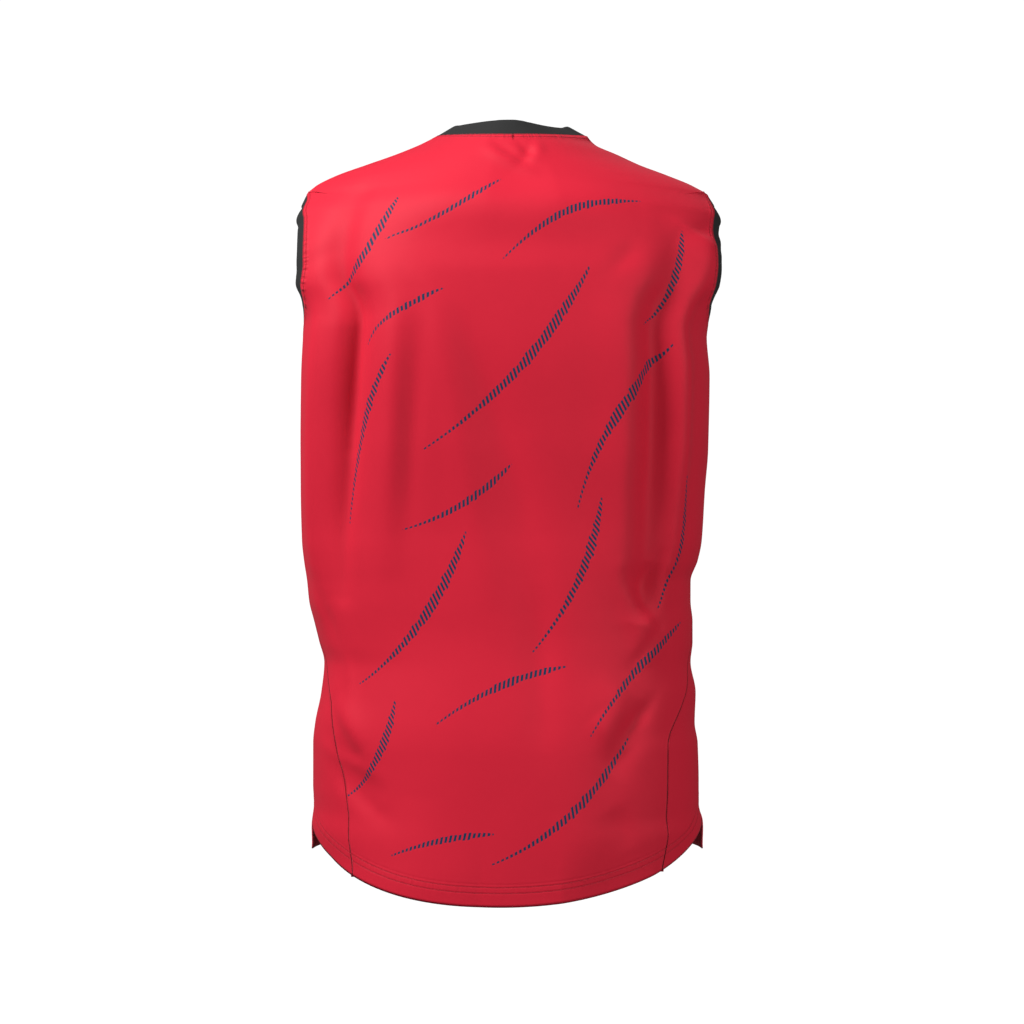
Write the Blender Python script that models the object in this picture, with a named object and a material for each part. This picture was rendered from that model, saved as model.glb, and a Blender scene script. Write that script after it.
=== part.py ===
"""Training singlet, size L: hollow, sleeveless, filled out as if worn on a general figure.

Metres, +Z up. The back faces +Y and +X is the wearer's left. The origin is on the centre
line, level with the high points of the shoulders, where the garment hangs on its wearer.
All sizes below are in millimetres and degrees.

The cloth follows one form, given by closed sections at named heights. A place on it has a
turn (0 at the wearer's left side, 90 at the centre back, 180 at the right side, 270 at the
centre front) and a height. A lead angle is the turn counted from the nearer side: +90 at the
centre back, -90 at the centre front.
"""

import functools
import math
from collections import namedtuple

import bmesh
import bpy
import numpy as np

MM = 0.001

# Cloth
CLOTH_WALL = 1.5
RIB_WALL = 2.0
SEAM_GAP = 0.35
BAND_GAP = 1.2

# Neckline, seen from the front
NECK_HALF_WIDTH = 75
NECK_DROP_BACK = 12
NECK_DROP_FRONT = 88
NECK_CURVE_BACK = 1.5
NECK_CURVE_FRONT = 1.3
NECKBAND_WIDTH = 19
NECKBAND_STAND = 0.3

# Armhole, an egg seen from the side
ARMHOLE_TOP = -54
ARMHOLE_BOTTOM = -201
ARMHOLE_AXIS = -13
ARMHOLE_BACK = 80
ARMHOLE_FRONT = 58
ARMHOLE_EGG = 0.25
ARMHOLE_EASE_TOP = 30
ARMHOLE_EASE_BOTTOM = 48
ARM_BAND_WIDTH = 14
ARM_BAND_TURN_IN = 0.35

# Shoulder seam, moved forward of the ridge
SHOULDER_SEAM_FORWARD = -ARMHOLE_AXIS

# Hems and vents
TAIL_HEM = -741
TAIL_RISE = 77
TAIL_TILT = 3
TAIL_ACROSS_POWER = 2.5
TAIL_DOWN_POWER = 2.05
VENT_TOP = -664
FRONT_HEM = -709
CORNER_FLARE = 5
CORNER_FLARE_REACH = 20

# Rows and columns of each panel
BACK_COLUMNS = 26
FRONT_COLUMNS = 20
SIDE_COLUMNS = 5
VENT_ROWS = 2
SIDE_ROWS = 20
ARMHOLE_ROWS = 11
SHOULDER_ROWS = 5
BAND_ROWS = 2

# Half-widths of the outline. At armhole heights they reach the panels' armhole edges.
Outline = namedtuple("Outline", "z left right")
OUTLINE = (
    Outline(-745, 196, 185),
    Outline(-709, 195, 186),
    Outline(-681, 198, 189),
    Outline(-661, 196, 185),
    Outline(-641, 197, 185),
    Outline(-601, 197, 184),
    Outline(-581, 195, 181),
    Outline(-551, 189, 182),
    Outline(-521, 186, 177),
    Outline(-501, 191, 179),
    Outline(-481, 196, 179),
    Outline(-461, 201, 177),
    Outline(-441, 203, 177),
    Outline(-421, 206, 184),
    Outline(-401, 208, 188),
    Outline(-351, 209, 191),
    Outline(-311, 209, 194),
    Outline(-241, 208, 195),
    Outline(-201, 206, 192),
    Outline(-181, 205, 195),
    Outline(-161, 205, 197),
    Outline(-131, 205, 199),
    Outline(-91, 205, 199),
    Outline(-71, 209, 201),
    Outline(-61, 207, 197),
    Outline(-51, 197, 182),
    Outline(-41, 178, 158),
    Outline(-31, 156, 136),
    Outline(-21, 128, 114),
    Outline(-11, 103, 90),
    Outline(-4, 86, 80),
    Outline(0, 75, 75),
    Outline(8, 56, 60),
)

# Depths from the shoulder line, and how flat each section's middle, round its sides and soft
# its crown are
Depth = namedtuple("Depth", "z back front flat round soft")
DEPTHS = (
    Depth(-745, 122, 118, 2.4, 2.2, 0.0),
    Depth(-600, 120, 118, 2.4, 2.2, 0.0),
    Depth(-480, 110, 116, 2.4, 2.2, 0.0),
    Depth(-400, 110, 116, 2.5, 2.3, 0.0),
    Depth(-300, 118, 120, 2.7, 2.5, 0.0),
    Depth(-200, 127, 126, 2.9, 2.7, 0.0),
    Depth(-150, 128, 117, 2.4, 2.2, 0.0),
    Depth(-120, 124, 106, 2.1, 2.0, 0.05),
    Depth(-88, 117, 92, 1.8, 1.8, 0.1),
    Depth(-56, 104, 79, 1.5, 1.65, 0.15),
    Depth(-30, 91, 67, 1.35, 1.6, 0.2),
    Depth(-12, 77, 57, 1.3, 1.6, 0.25),
    Depth(0, 62, 50, 1.3, 1.6, 0.25),
    Depth(12, 46, 42, 1.3, 1.6, 0.25),
)

# Lead angles of the long seams
Seam = namedtuple("Seam", "z back_left back_right front")
SEAMS = (
    Seam(-745, 42, 41, -3),
    Seam(-650, 37, 37, -3),
    Seam(-600, 31, 36, -4),
    Seam(-560, 24, 26, -5),
    Seam(-520, 13, 14, -6),
    Seam(-440, 5, 5, -9),
    Seam(-300, 1, 1, -13),
    Seam(-201, 0, 0, -16),
)

# The largest folds, as ridges (height over 0) and troughs (under 0) between two places.
# Round is the distance round the body from the centre back, + towards the left.
Fold = namedtuple("Fold", "name round_1 z_1 round_2 z_2 half_width height")
FOLDS = [
    Fold("left side ridge", 192, -150, 204, -440, 22, 3.5),
    Fold("left valley", 134, -130, 172, -450, 24, -5.0),
    Fold("left blade ridge", 102, -140, 128, -470, 26, 4.0),
    Fold("middle ridge", 62, -110, -6, -470, 34, 3.0),
    Fold("middle trough", 48, -120, -34, -560, 26, -4.0),
    Fold("right blade ridge", -106, -130, -112, -430, 24, 4.0),
    Fold("right valley", -140, -110, -142, -430, 22, -5.0),
    Fold("right side ridge", -176, -140, -172, -400, 18, 3.0),
    Fold("right armhole ridge", -148, -106, -200, -150, 12, 3.0),
    Fold("right waist hollow", -150, -420, -140, -480, 20, -6.0),
    Fold("right waist ridge", -118, -430, -156, -520, 15, 5.0),
    Fold("right hip hollow", -138, -550, -100, -620, 18, -5.0),
    Fold("right hip ridge", -122, -600, -90, -560, 18, 4.0),
    Fold("left hip ridge", 190, -550, 150, -600, 16, 4.0),
    Fold("left hip hollow", 186, -590, 130, -650, 16, -4.0),
    Fold("neck hollow", 20, -66, -40, -66, 26, -3.0),
    Fold("front left ridge", 345, -190, 300, -600, 30, 4.0),
    Fold("front left valley", 395, -210, 350, -620, 32, -5.0),
    Fold("front middle ridge", 450, -230, 430, -640, 34, 4.0),
    Fold("front right ridge", -350, -200, -310, -560, 30, 4.0),
    Fold("front right valley", -400, -190, -365, -600, 32, -5.0),
    Fold("front chest trough", 470, -140, 540, -330, 26, -3.0),
]

Finish = namedtuple("Finish", "name red green blue roughness")
RED_KNIT = Finish("red_knit", 0.62, 0.02, 0.045, 0.75)
BLACK_RIB = Finish("black_rib", 0.012, 0.012, 0.013, 0.85)


def clear_scene():
    for thing in list(bpy.data.objects):
        bpy.data.objects.remove(thing, do_unlink=True)


# Curves through the tables


@functools.cache
def knots(rows, name):
    """Heights, values, steps and slopes of one column of a table."""
    at = np.array([row.z for row in rows], float)
    value = np.array([getattr(row, name) for row in rows], float)
    step = np.diff(at)
    rise = np.diff(value) / step
    slope = np.zeros_like(value)
    slope[0] = rise[0]
    slope[-1] = rise[-1]
    same_way = rise[:-1] * rise[1:] > 0
    both = rise[:-1][same_way] + rise[1:][same_way]
    slope[1:-1][same_way] = 2 * rise[:-1][same_way] * rise[1:][same_way] / both
    return at, value, step, slope


def through(rows, name, z):
    """A smooth curve through one column of a table, with no overshoot between its rows."""
    at, value, step, slope = knots(rows, name)
    z = np.clip(z, at[0], at[-1])
    row = np.clip(np.searchsorted(at, z) - 1, 0, len(step) - 1)
    part = (z - at[row]) / step[row]
    bend = part * (1 - part) * step[row]
    return (
        value[row]
        + (value[row + 1] - value[row]) * part * part * (3 - 2 * part)
        + bend * (slope[row] * (1 - part) - slope[row + 1] * part)
    )


def ease(part):
    part = np.clip(part, 0, 1)
    return part * part * (3 - 2 * part)


def mix(first, second, part):
    return first + (second - first) * part


# The form


def depth_share(across, z):
    """Share of a section's depth at this share of its half-width."""
    soft = through(DEPTHS, "soft", z)
    eased = (np.hypot(across, soft) - soft) / (np.hypot(1, soft) - soft)
    left_over = np.clip(1 - eased ** through(DEPTHS, "flat", z), 0, 1)
    return left_over ** (1 / through(DEPTHS, "round", z))


def across_share(depth, z):
    """The other way round: share of the half-width at this share of the depth."""
    soft = through(DEPTHS, "soft", z)
    left_over = np.clip(1 - depth ** through(DEPTHS, "round", z), 0, 1)
    eased = left_over ** (1 / through(DEPTHS, "flat", z))
    reach = eased * (np.hypot(1, soft) - soft) + soft
    return np.sqrt(np.clip(reach**2 - soft**2, 0, 1))


def full_depth(behind, z):
    return np.where(behind, through(DEPTHS, "back", z), through(DEPTHS, "front", z))


def armhole(turn):
    """(y, z) of the armhole's edge. Its turn is 0 at the top, + behind and - in front."""
    cosine = np.cos(np.radians(turn))
    swell = np.abs(np.sin(np.radians(turn))) * (1 - ARMHOLE_EGG * cosine)
    y = ARMHOLE_AXIS + np.where(turn > 0, ARMHOLE_BACK, -ARMHOLE_FRONT) * swell
    middle = (ARMHOLE_TOP + ARMHOLE_BOTTOM) / 2
    return y, middle + (ARMHOLE_TOP - middle) * cosine


def half_width(left, behind, z):
    """The outline, widened at armhole heights so that the armhole's edge stands on it."""
    outline = np.where(left, through(OUTLINE, "left", z), through(OUTLINE, "right", z))
    middle = (ARMHOLE_TOP + ARMHOLE_BOTTOM) / 2
    cosine = np.clip((z - middle) / (ARMHOLE_TOP - middle), -1, 1)
    swell = np.sqrt(1 - cosine**2) * (1 - ARMHOLE_EGG * cosine)
    reach = np.where(behind, ARMHOLE_AXIS + ARMHOLE_BACK * swell, ARMHOLE_FRONT * swell)
    edge = across_share(np.clip(reach, 0, None) / full_depth(behind, z), z)
    fade = ease((ARMHOLE_TOP - z) / ARMHOLE_EASE_TOP)
    fade = fade * ease((z - ARMHOLE_BOTTOM) / ARMHOLE_EASE_BOTTOM)
    return outline * (1 + fade * (1 / np.maximum(edge, 0.5) - 1))


def plain_form(turn, z):
    """Points of the form without its folds, one row each."""
    cosine = np.cos(np.radians(turn))
    sine = np.sin(np.radians(turn))
    across = np.abs(cosine)
    x = cosine * half_width(cosine >= 0, sine >= 0, z)
    y = np.sign(sine) * full_depth(sine >= 0, z) * depth_share(across, z)
    return np.stack([x, y, z + 0 * x], axis=-1)


def normals_of(surface, turn, z):
    """Outward unit normals of a surface given by turn and height."""
    round_way = surface(turn + 0.4, z) - surface(turn - 0.4, z)
    up_way = surface(turn, z + 0.6) - surface(turn, z - 0.6)
    normal = np.cross(round_way, up_way)
    return normal / np.linalg.norm(normal, axis=-1, keepdims=True)


def round_of(turn):
    """Distance round the body from the centre back, + towards the left, up to +-503."""
    angle = np.radians((90 - turn + 180) % 360 - 180)
    return 160 * angle + 20 * np.sin(2 * angle)


def fold_height(turn, z):
    place = round_of(turn)
    whole = 320 * math.pi
    height = 0 * place * z
    for fold in FOLDS:
        along = np.array([fold.round_2 - fold.round_1, fold.z_2 - fold.z_1], float)
        length = np.hypot(*along)
        across = (place - fold.round_1 + whole / 2) % whole - whole / 2
        down = z - fold.z_1
        part = (across * along[0] + down * along[1]) / length**2
        aside = (across * along[1] - down * along[0]) / length
        inside = np.clip(part, 0, 1)
        past = (part - inside) * length
        taper = np.sin(math.pi * (0.08 + 0.84 * inside))
        height = height + fold.height * taper * np.exp(
            -(aside**2 + past**2) / fold.half_width**2
        )
    return height


def form(turn, z):
    """Points of the cloth's outer face."""
    height = np.expand_dims(fold_height(turn, z), -1)
    return plain_form(turn, z) + normals_of(plain_form, turn, z) * height


# Places of the seams and edges: (lead, height) pairs


def lead_at(behind, y, z):
    """Lead angle of the form's point at this depth and height."""
    share = np.abs(y) / full_depth(behind, z)
    lead = np.degrees(np.arccos(np.clip(across_share(share, z), 0, 1)))
    return np.where(behind, lead, -lead)


def armhole_place(turn):
    y, z = armhole(turn)
    return lead_at(y >= 0, y, z), z


def neck_place(side, angle):
    """Neckline at an angle from the wearer's side, + behind and - in front."""
    sine = np.abs(np.sin(np.radians(angle)))
    behind = angle > 0
    drop = np.where(
        behind,
        NECK_DROP_BACK * sine**NECK_CURVE_BACK,
        NECK_DROP_FRONT * sine**NECK_CURVE_FRONT,
    )
    across = NECK_HALF_WIDTH * np.cos(np.radians(angle)) / half_width(side > 0, behind, -drop)
    lead = np.degrees(np.arccos(np.clip(across, -1, 1)))
    return np.where(behind, lead, -lead), -drop


def solve(wanted, low, high):
    """Where a rising function passes 0."""
    for _ in range(50):
        middle = (low + high) / 2
        if wanted(middle) < 0:
            low = middle
        else:
            high = middle
    return (low + high) / 2


@functools.cache
def neck_seam_angle(side):
    """Where the shoulder seam meets the neckline."""

    def past_seam(angle):
        lead, z = neck_place(side, np.array(angle))
        turn = np.where(side > 0, lead, 180 - lead)
        return plain_form(turn, z)[1] + SHOULDER_SEAM_FORWARD

    return solve(past_seam, -20.0, -0.01)


def seam_lead(name, z):
    return through(SEAMS, name, z)


def back_seam_name(side):
    return "back_left" if side > 0 else "back_right"


def tail_hem(side, lead):
    """Height of the drop tail's rounded hem."""
    part = (90 - lead) / (90 - seam_lead("front", VENT_TOP))
    across = np.clip(np.sin(np.radians(90 * np.clip(part, 0, 1))), 0, 1)
    rise = 1 - (1 - across**TAIL_ACROSS_POWER) ** (1 / TAIL_DOWN_POWER)
    tilt = TAIL_TILT * across if side < 0 else -TAIL_TILT * across * (1 - across)
    return TAIL_HEM + TAIL_RISE * rise + tilt


@functools.cache
def underarm_turn(behind):
    """Where the armhole meets the side panel's back or front seam."""
    if behind:
        return solve(lambda turn: -armhole(np.array(turn))[0], 90.0, 179.9)
    seam = seam_lead("front", ARMHOLE_BOTTOM)
    return solve(lambda turn: seam - armhole_place(np.array(turn))[0], -179.0, -100.0)


def back_seam_place(side, part):
    """Back and side panels' seam, part 0 at the hem and 1 at the armhole."""
    name = back_seam_name(side)
    hem = tail_hem(side, seam_lead(name, TAIL_HEM))
    z = mix(hem, armhole_place(np.array(underarm_turn(True)))[1], part)
    return seam_lead(name, z), z


def front_seam_place(part):
    """Front and side panels' seam, part 0 at the vent's top and 1 at the armhole."""
    z = mix(VENT_TOP, armhole_place(np.array(underarm_turn(False)))[1], part)
    return seam_lead("front", z), z


def shoulder_seam_place(side, part):
    """Shoulder seam, part 0 at the armhole and 1 at the neck."""
    neck_z = neck_place(side, np.array(neck_seam_angle(side)))[1]
    z = mix(ARMHOLE_TOP, neck_z, part)
    return lead_at(False, SHOULDER_SEAM_FORWARD, z), z


# Panels: each gives (turn, height) for a column from -1 or 0 to 1 and a station up its edge


def turn_of(side, lead):
    return np.where(side > 0, lead, 180 - lead)


def half_gap(side, lead, z, slant=0.0):
    """Half the seam gap, as an angle along a row that meets the seam at a slant (in
    degrees of lead for each millimetre of height)."""
    turn = turn_of(side, lead)
    pace = np.linalg.norm(plain_form(turn + 0.5, z) - plain_form(turn - 0.5, z), axis=-1)
    return SEAM_GAP / 2 / pace * np.hypot(1, slant * pace)


def seam_gap(side, name, z):
    """Half the gap at one of the long seams, as an angle."""
    slant = (seam_lead(name, z + 2) - seam_lead(name, z - 2)) / 4
    return half_gap(side, seam_lead(name, z), z, slant)


def panel_row(part, edge, gap, middle_z, middle_lead):
    """A row that runs from the middle of a panel to a gap short of its edge."""
    lead_edge, z_edge = edge
    lead = mix(middle_lead, lead_edge + math.copysign(1, middle_lead) * gap, part)
    return lead, mix(middle_z, z_edge, ease(part))


def neck_mend(side, part, middle_z, middle_lead):
    """What takes a panel's straight top row to the neckline: (lead, height) steps."""
    edge = shoulder_seam_place(side, 1)
    gap = half_gap(side, *edge)
    plain_lead, plain_z = panel_row(part, edge, gap, middle_z, middle_lead)
    angle = mix(middle_lead, neck_seam_angle(side), part)
    lead, z = neck_place(side, np.array(angle))
    return lead + math.copysign(1, middle_lead) * gap * part - plain_lead, z - plain_z


HEM_MEND_REACH = 0.3
BACK_MIDDLE = [TAIL_HEM, -203, -76, -NECK_DROP_BACK]
FRONT_MIDDLE = [FRONT_HEM, VENT_TOP + 2, -203, -110, -NECK_DROP_FRONT]


def back_place(across, station):
    """Station 0 at the hem, 1 at the underarm, 2 at the shoulder and 3 at the neck."""
    side = 1 if across >= 0 else -1
    part = np.array(abs(across))
    zone = min(int(station), 2)
    local = station - zone
    seam = back_seam_name(side)
    if zone == 0:
        edge = back_seam_place(side, local)
        gap = seam_gap(side, seam, edge[1])
    elif zone == 1:
        edge = armhole_place(np.array(mix(underarm_turn(True), 0.01, local)))
        gap = half_gap(side, *edge)
    else:
        edge = shoulder_seam_place(side, local)
        gap = half_gap(side, *edge)
    middle_z = mix(BACK_MIDDLE[zone], BACK_MIDDLE[zone + 1], local)
    lead, z = panel_row(part, edge, gap, middle_z, 90)
    if zone == 0:
        hem = back_seam_place(side, 0)
        hem_z = panel_row(part, hem, 0, TAIL_HEM, 90)[1]
        z = z + (tail_hem(side, lead) - hem_z) * (1 - ease(local / HEM_MEND_REACH))
    if zone == 2:
        lead_step, z_step = neck_mend(side, part, -NECK_DROP_BACK, 90)
        lead, z = lead + lead_step * local**1.5, z + z_step * local**1.5
    return turn_of(side, lead), z


def front_place(across, station):
    """Station 0 at the hem, 1 at the vents' tops, then on as on the back."""
    side = 1 if across >= 0 else -1
    part = np.array(abs(across))
    zone = min(int(station), 3)
    local = station - zone
    if zone < 2:
        z_edge = mix(FRONT_HEM, VENT_TOP, local) if zone == 0 else front_seam_place(local)[1]
        edge = (seam_lead("front", z_edge), z_edge)
        gap = seam_gap(side, "front", z_edge)
    elif zone == 2:
        edge = armhole_place(np.array(mix(underarm_turn(False), -0.01, local)))
        gap = half_gap(side, *edge)
    else:
        edge = shoulder_seam_place(side, local)
        gap = half_gap(side, *edge)
    middle_z = mix(FRONT_MIDDLE[zone], FRONT_MIDDLE[zone + 1], local)
    lead, z = panel_row(part, edge, gap, middle_z, -90)
    if zone == 3:
        lead_step, z_step = neck_mend(side, part, -NECK_DROP_FRONT, -90)
        lead, z = lead + lead_step * local, z + z_step * local
    return turn_of(side, lead), z


def side_place(side, across, station):
    """Across 0 at the back seam and 1 at the front seam. Station 0 at the hem, 1 on top."""
    back_lead, back_z = back_seam_place(side, station)
    front_lead, front_z = front_seam_place(station)
    back_lead = back_lead - seam_gap(side, back_seam_name(side), back_z)
    front_lead = front_lead + seam_gap(side, "front", front_z)
    hem_back, hem_front = back_seam_place(side, 0), front_seam_place(0)
    hem_lead = mix(hem_back[0], hem_front[0], across)
    hem_step = tail_hem(side, hem_lead) - mix(hem_back[1], hem_front[1], across)
    arm_turn = mix(underarm_turn(True), 360 + underarm_turn(False), across)
    arm_turn = arm_turn if arm_turn < 180 else arm_turn - 360
    top_lead, top_z = armhole_place(np.array(arm_turn))
    top_back, top_front = back_seam_place(side, 1), front_seam_place(1)
    lead_step = top_lead - mix(top_back[0], top_front[0], across)
    z_step = top_z - mix(top_back[1], top_front[1], across)
    lead = mix(back_lead, front_lead, across) + lead_step * station**6
    z = mix(back_z, front_z, across) + z_step * station**6
    return turn_of(side, lead), z + hem_step * (1 - ease(station / HEM_MEND_REACH))


def corner_flare(points, turn, z):
    """The front's hem corners stand out a little at the vents."""
    lead = np.where(np.cos(np.radians(turn)) > 0, turn, 180 - turn)
    lead = (lead + 180) % 360 - 180
    near = np.exp(-(((lead - seam_lead("front", z)) / CORNER_FLARE_REACH) ** 2))
    down = np.clip((VENT_TOP - z) / (VENT_TOP - FRONT_HEM), 0, 1)
    points = points.copy()
    points[..., 0] += np.sign(points[..., 0]) * CORNER_FLARE * near * down
    return points


# Solids


def material(finish):
    """A plain surface of the finish's colour."""
    made = bpy.data.materials.get(finish.name) or bpy.data.materials.new(finish.name)
    made.use_nodes = True
    shader = made.node_tree.nodes["Principled BSDF"]
    shader.inputs["Base Color"].default_value = (finish.red, finish.green, finish.blue, 1)
    shader.inputs["Roughness"].default_value = finish.roughness
    shader.inputs["Metallic"].default_value = 0
    return made


def finish_object(name, mesh_data, finish):
    bmesh.ops.recalc_face_normals(mesh_data, faces=mesh_data.faces)
    if mesh_data.calc_volume(signed=True) < 0:
        bmesh.ops.reverse_faces(mesh_data, faces=mesh_data.faces)
    mesh = bpy.data.meshes.new(name)
    mesh_data.to_mesh(mesh)
    mesh_data.free()
    mesh.shade_smooth()
    mesh.set_sharp_from_angle(angle=math.radians(40))
    mesh.materials.append(material(finish))
    thing = bpy.data.objects.new(name, mesh)
    bpy.context.scene.collection.objects.link(thing)
    return thing


def flat_slab(columns, rows):
    """A slab one unit thick over whole numbers, (0, 0) to (columns, rows)."""
    slab = bmesh.new()
    bmesh.ops.create_grid(slab, x_segments=columns, y_segments=rows, size=0.5)
    for vert in slab.verts:
        vert.co.x = round((vert.co.x + 0.5) * columns)
        vert.co.y = round((vert.co.y + 0.5) * rows)
    raised = bmesh.ops.extrude_face_region(slab, geom=slab.faces[:], use_keep_orig=True)
    for vert in raised["geom"]:
        if isinstance(vert, bmesh.types.BMVert):
            vert.co.z = 1
    return slab


def turned_slab(steps, rows):
    """A ring one unit thick and rows high, whose point i lies at the angle 360 i / steps."""
    ring = bmesh.new()
    corners = [ring.verts.new((1, 0, row)) for row in range(rows + 1)]
    corners += [ring.verts.new((2, 0, row)) for row in range(rows, -1, -1)]
    edges = [ring.edges.new(pair) for pair in zip(corners, corners[1:] + corners[:1])]
    bmesh.ops.spin(
        ring, geom=edges, cent=(0, 0, 0), axis=(0, 0, 1), angle=2 * math.pi,
        steps=steps, use_merge=True,
    )
    return ring


def make_panel(name, columns, stations, place, surface, finish):
    """A panel from its places: the outer face on the surface, the wall inwards."""
    slab = flat_slab(columns, len(stations) - 1)
    spots = {}
    for vert in slab.verts:
        spot = (round(vert.co.x), round(vert.co.y))
        spots[spot] = spots.get(spot) or place(spot[0] / columns, stations[spot[1]])
    chosen = [spots[round(vert.co.x), round(vert.co.y)] for vert in slab.verts]
    turn = np.array([float(spot[0]) for spot in chosen])
    z = np.array([float(spot[1]) for spot in chosen])
    points = surface(turn, z)
    inwards = normals_of(surface, turn, z) * CLOTH_WALL
    for index, vert in enumerate(slab.verts):
        vert.co = (points[index] - inwards[index] * (1 - vert.co.z)) * MM
    return finish_object(name, slab, finish)


def make_band(name, turn, z, centre, stand, width, surface, finish):
    """A rib band that stands on the edge through these places, towards a centre point."""
    edge = surface(turn, z)
    face = normals_of(surface, turn, z)
    along = np.roll(edge, -1, axis=0) - np.roll(edge, 1, axis=0)
    onward = np.cross(along, face)
    onward /= np.linalg.norm(onward, axis=-1, keepdims=True)
    onward *= np.sign(np.sum(onward * (centre - edge), axis=-1, keepdims=True))
    lean, share = stand(edge)
    rise = onward * (1 - share) + lean * share
    rise /= np.linalg.norm(rise, axis=-1, keepdims=True)
    band_face = np.cross(along, rise)
    band_face /= np.linalg.norm(band_face, axis=-1, keepdims=True)
    band_face *= np.sign(np.sum(band_face * face, axis=-1, keepdims=True))
    ring = turned_slab(len(edge), BAND_ROWS)
    for vert in ring.verts:
        turned = math.atan2(vert.co.y, vert.co.x) / (2 * math.pi) * len(edge)
        index = round(turned) % len(edge)
        up = vert.co.z / BAND_ROWS
        outer = round(vert.co.xy.length) == 2
        normal = face[index] if up == 0 else band_face[index]
        middle = edge[index] - face[index] * CLOTH_WALL / 2
        point = middle + onward[index] * BAND_GAP + rise[index] * width * up
        vert.co = (point + normal * RIB_WALL / 2 * (1 if outer else -1)) * MM
    return finish_object(name, ring, finish)


def panel_stations(zones):
    """Stations up a panel's edge, from its rows in each zone."""
    stations = [0.0]
    for zone, rows in enumerate(zones):
        stations += [zone + (row + 1) / rows for row in range(rows)]
    return stations


def make_panels():
    back_rows = panel_stations([SIDE_ROWS, ARMHOLE_ROWS, SHOULDER_ROWS])
    front_rows = panel_stations([VENT_ROWS, SIDE_ROWS, ARMHOLE_ROWS, SHOULDER_ROWS])

    def front_surface(turn, z):
        return corner_flare(form(turn, z), turn, z)

    make_panel(
        "back_panel", BACK_COLUMNS, back_rows,
        lambda part, station: back_place(2 * part - 1, station), form, RED_KNIT,
    )
    make_panel(
        "front_panel", FRONT_COLUMNS, front_rows,
        lambda part, station: front_place(2 * part - 1, station), front_surface, RED_KNIT,
    )
    for name, side in (("side_panel_left", 1), ("side_panel_right", -1)):
        make_panel(
            name, SIDE_COLUMNS, panel_stations([SIDE_ROWS]),
            lambda part, station, side=side: side_place(side, part, station),
            form, RED_KNIT,
        )


def armhole_turns():
    """The armhole's stations, shared with the panels' edges: back, front, underarm."""
    back = [mix(0.01, underarm_turn(True), row / ARMHOLE_ROWS) for row in range(ARMHOLE_ROWS)]
    under = [
        mix(underarm_turn(True), 360 + underarm_turn(False), part / SIDE_COLUMNS)
        for part in range(SIDE_COLUMNS)
    ]
    under = [turn if turn < 180 else turn - 360 for turn in under]
    front = [
        mix(underarm_turn(False), -0.01, row / ARMHOLE_ROWS) for row in range(ARMHOLE_ROWS)
    ]
    return np.array(back + under + front)


def make_armhole_bands():
    arm_turn = armhole_turns()
    for name, side in (("armhole_band_left", 1), ("armhole_band_right", -1)):
        lead, z = armhole_place(arm_turn)
        middle = np.array([side * 205, ARMHOLE_AXIS, (ARMHOLE_TOP + ARMHOLE_BOTTOM) / 2])

        def towards_middle(edge, middle=middle):
            inwards = (middle - edge) * (0, 1, 1)
            return inwards / np.linalg.norm(inwards, axis=-1, keepdims=True), ARM_BAND_TURN_IN

        make_band(
            name, turn_of(side, lead), z, middle, towards_middle, ARM_BAND_WIDTH, form, BLACK_RIB
        )


def neck_turns():
    """(turns, heights) of the neckline's stations, shared with the panels' columns."""
    turns, heights = [], []
    for middle, columns in ((90, BACK_COLUMNS), (-90, FRONT_COLUMNS)):
        for step in range(columns):
            across = (1 - 2 * step / columns) * math.copysign(1, middle)
            side = 1 if across >= 0 else -1
            lead, z = neck_place(side, np.array(mix(middle, neck_seam_angle(side), abs(across))))
            turns.append(float(turn_of(side, lead)))
            heights.append(float(z))
    return np.array(turns), np.array(heights)


def make_neckband():
    turn, z = neck_turns()
    centre = np.array([0, 0, 60])
    make_band(
        "neckband", turn, z, centre,
        lambda edge: (np.array([0, 0, 1]), NECKBAND_STAND),
        NECKBAND_WIDTH, form, BLACK_RIB,
    )


def main():
    clear_scene()
    make_panels()
    make_neckband()
    make_armhole_bands()


main()
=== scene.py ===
"""Training singlet, size L: the looks of a hollow, sleeveless garment, filled out as if worn.

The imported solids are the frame. Each cloth solid is replaced by a thin, finely folded piece
on the same form, with its seams, stitches, turned hems and ribs. Sizes in the tables and
functions are in millimetres and degrees, and become metres where a mesh is made. +Z is up,
the back faces +Y and +X is the wearer's left.

The cloth follows one form, given by closed sections at named heights. A place on it has a
turn (0 at the wearer's left side, 90 at the centre back, 180 at the right side, 270 at the
centre front) and a height. A lead angle is the turn counted from the nearer side: +90 at the
centre back, -90 at the centre front.
"""

import functools
import math
from collections import namedtuple

import bmesh
import bpy
import numpy as np
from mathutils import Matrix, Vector


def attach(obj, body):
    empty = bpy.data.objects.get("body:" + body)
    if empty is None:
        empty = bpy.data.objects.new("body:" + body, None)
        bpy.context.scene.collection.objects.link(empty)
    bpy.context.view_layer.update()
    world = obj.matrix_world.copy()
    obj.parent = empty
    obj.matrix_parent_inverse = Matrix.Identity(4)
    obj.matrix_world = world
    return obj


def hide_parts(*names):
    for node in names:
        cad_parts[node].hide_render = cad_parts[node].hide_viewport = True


bl_info = {
    "name": "Training Singlet",
    "version": (1, 0, 0),
    "blender": (4, 5, 0),
    "location": "3D View > Sidebar > Singlet",
    "description": "A sleeveless training singlet with side panels and a drop tail",
    "category": "Add Mesh",
}

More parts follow.
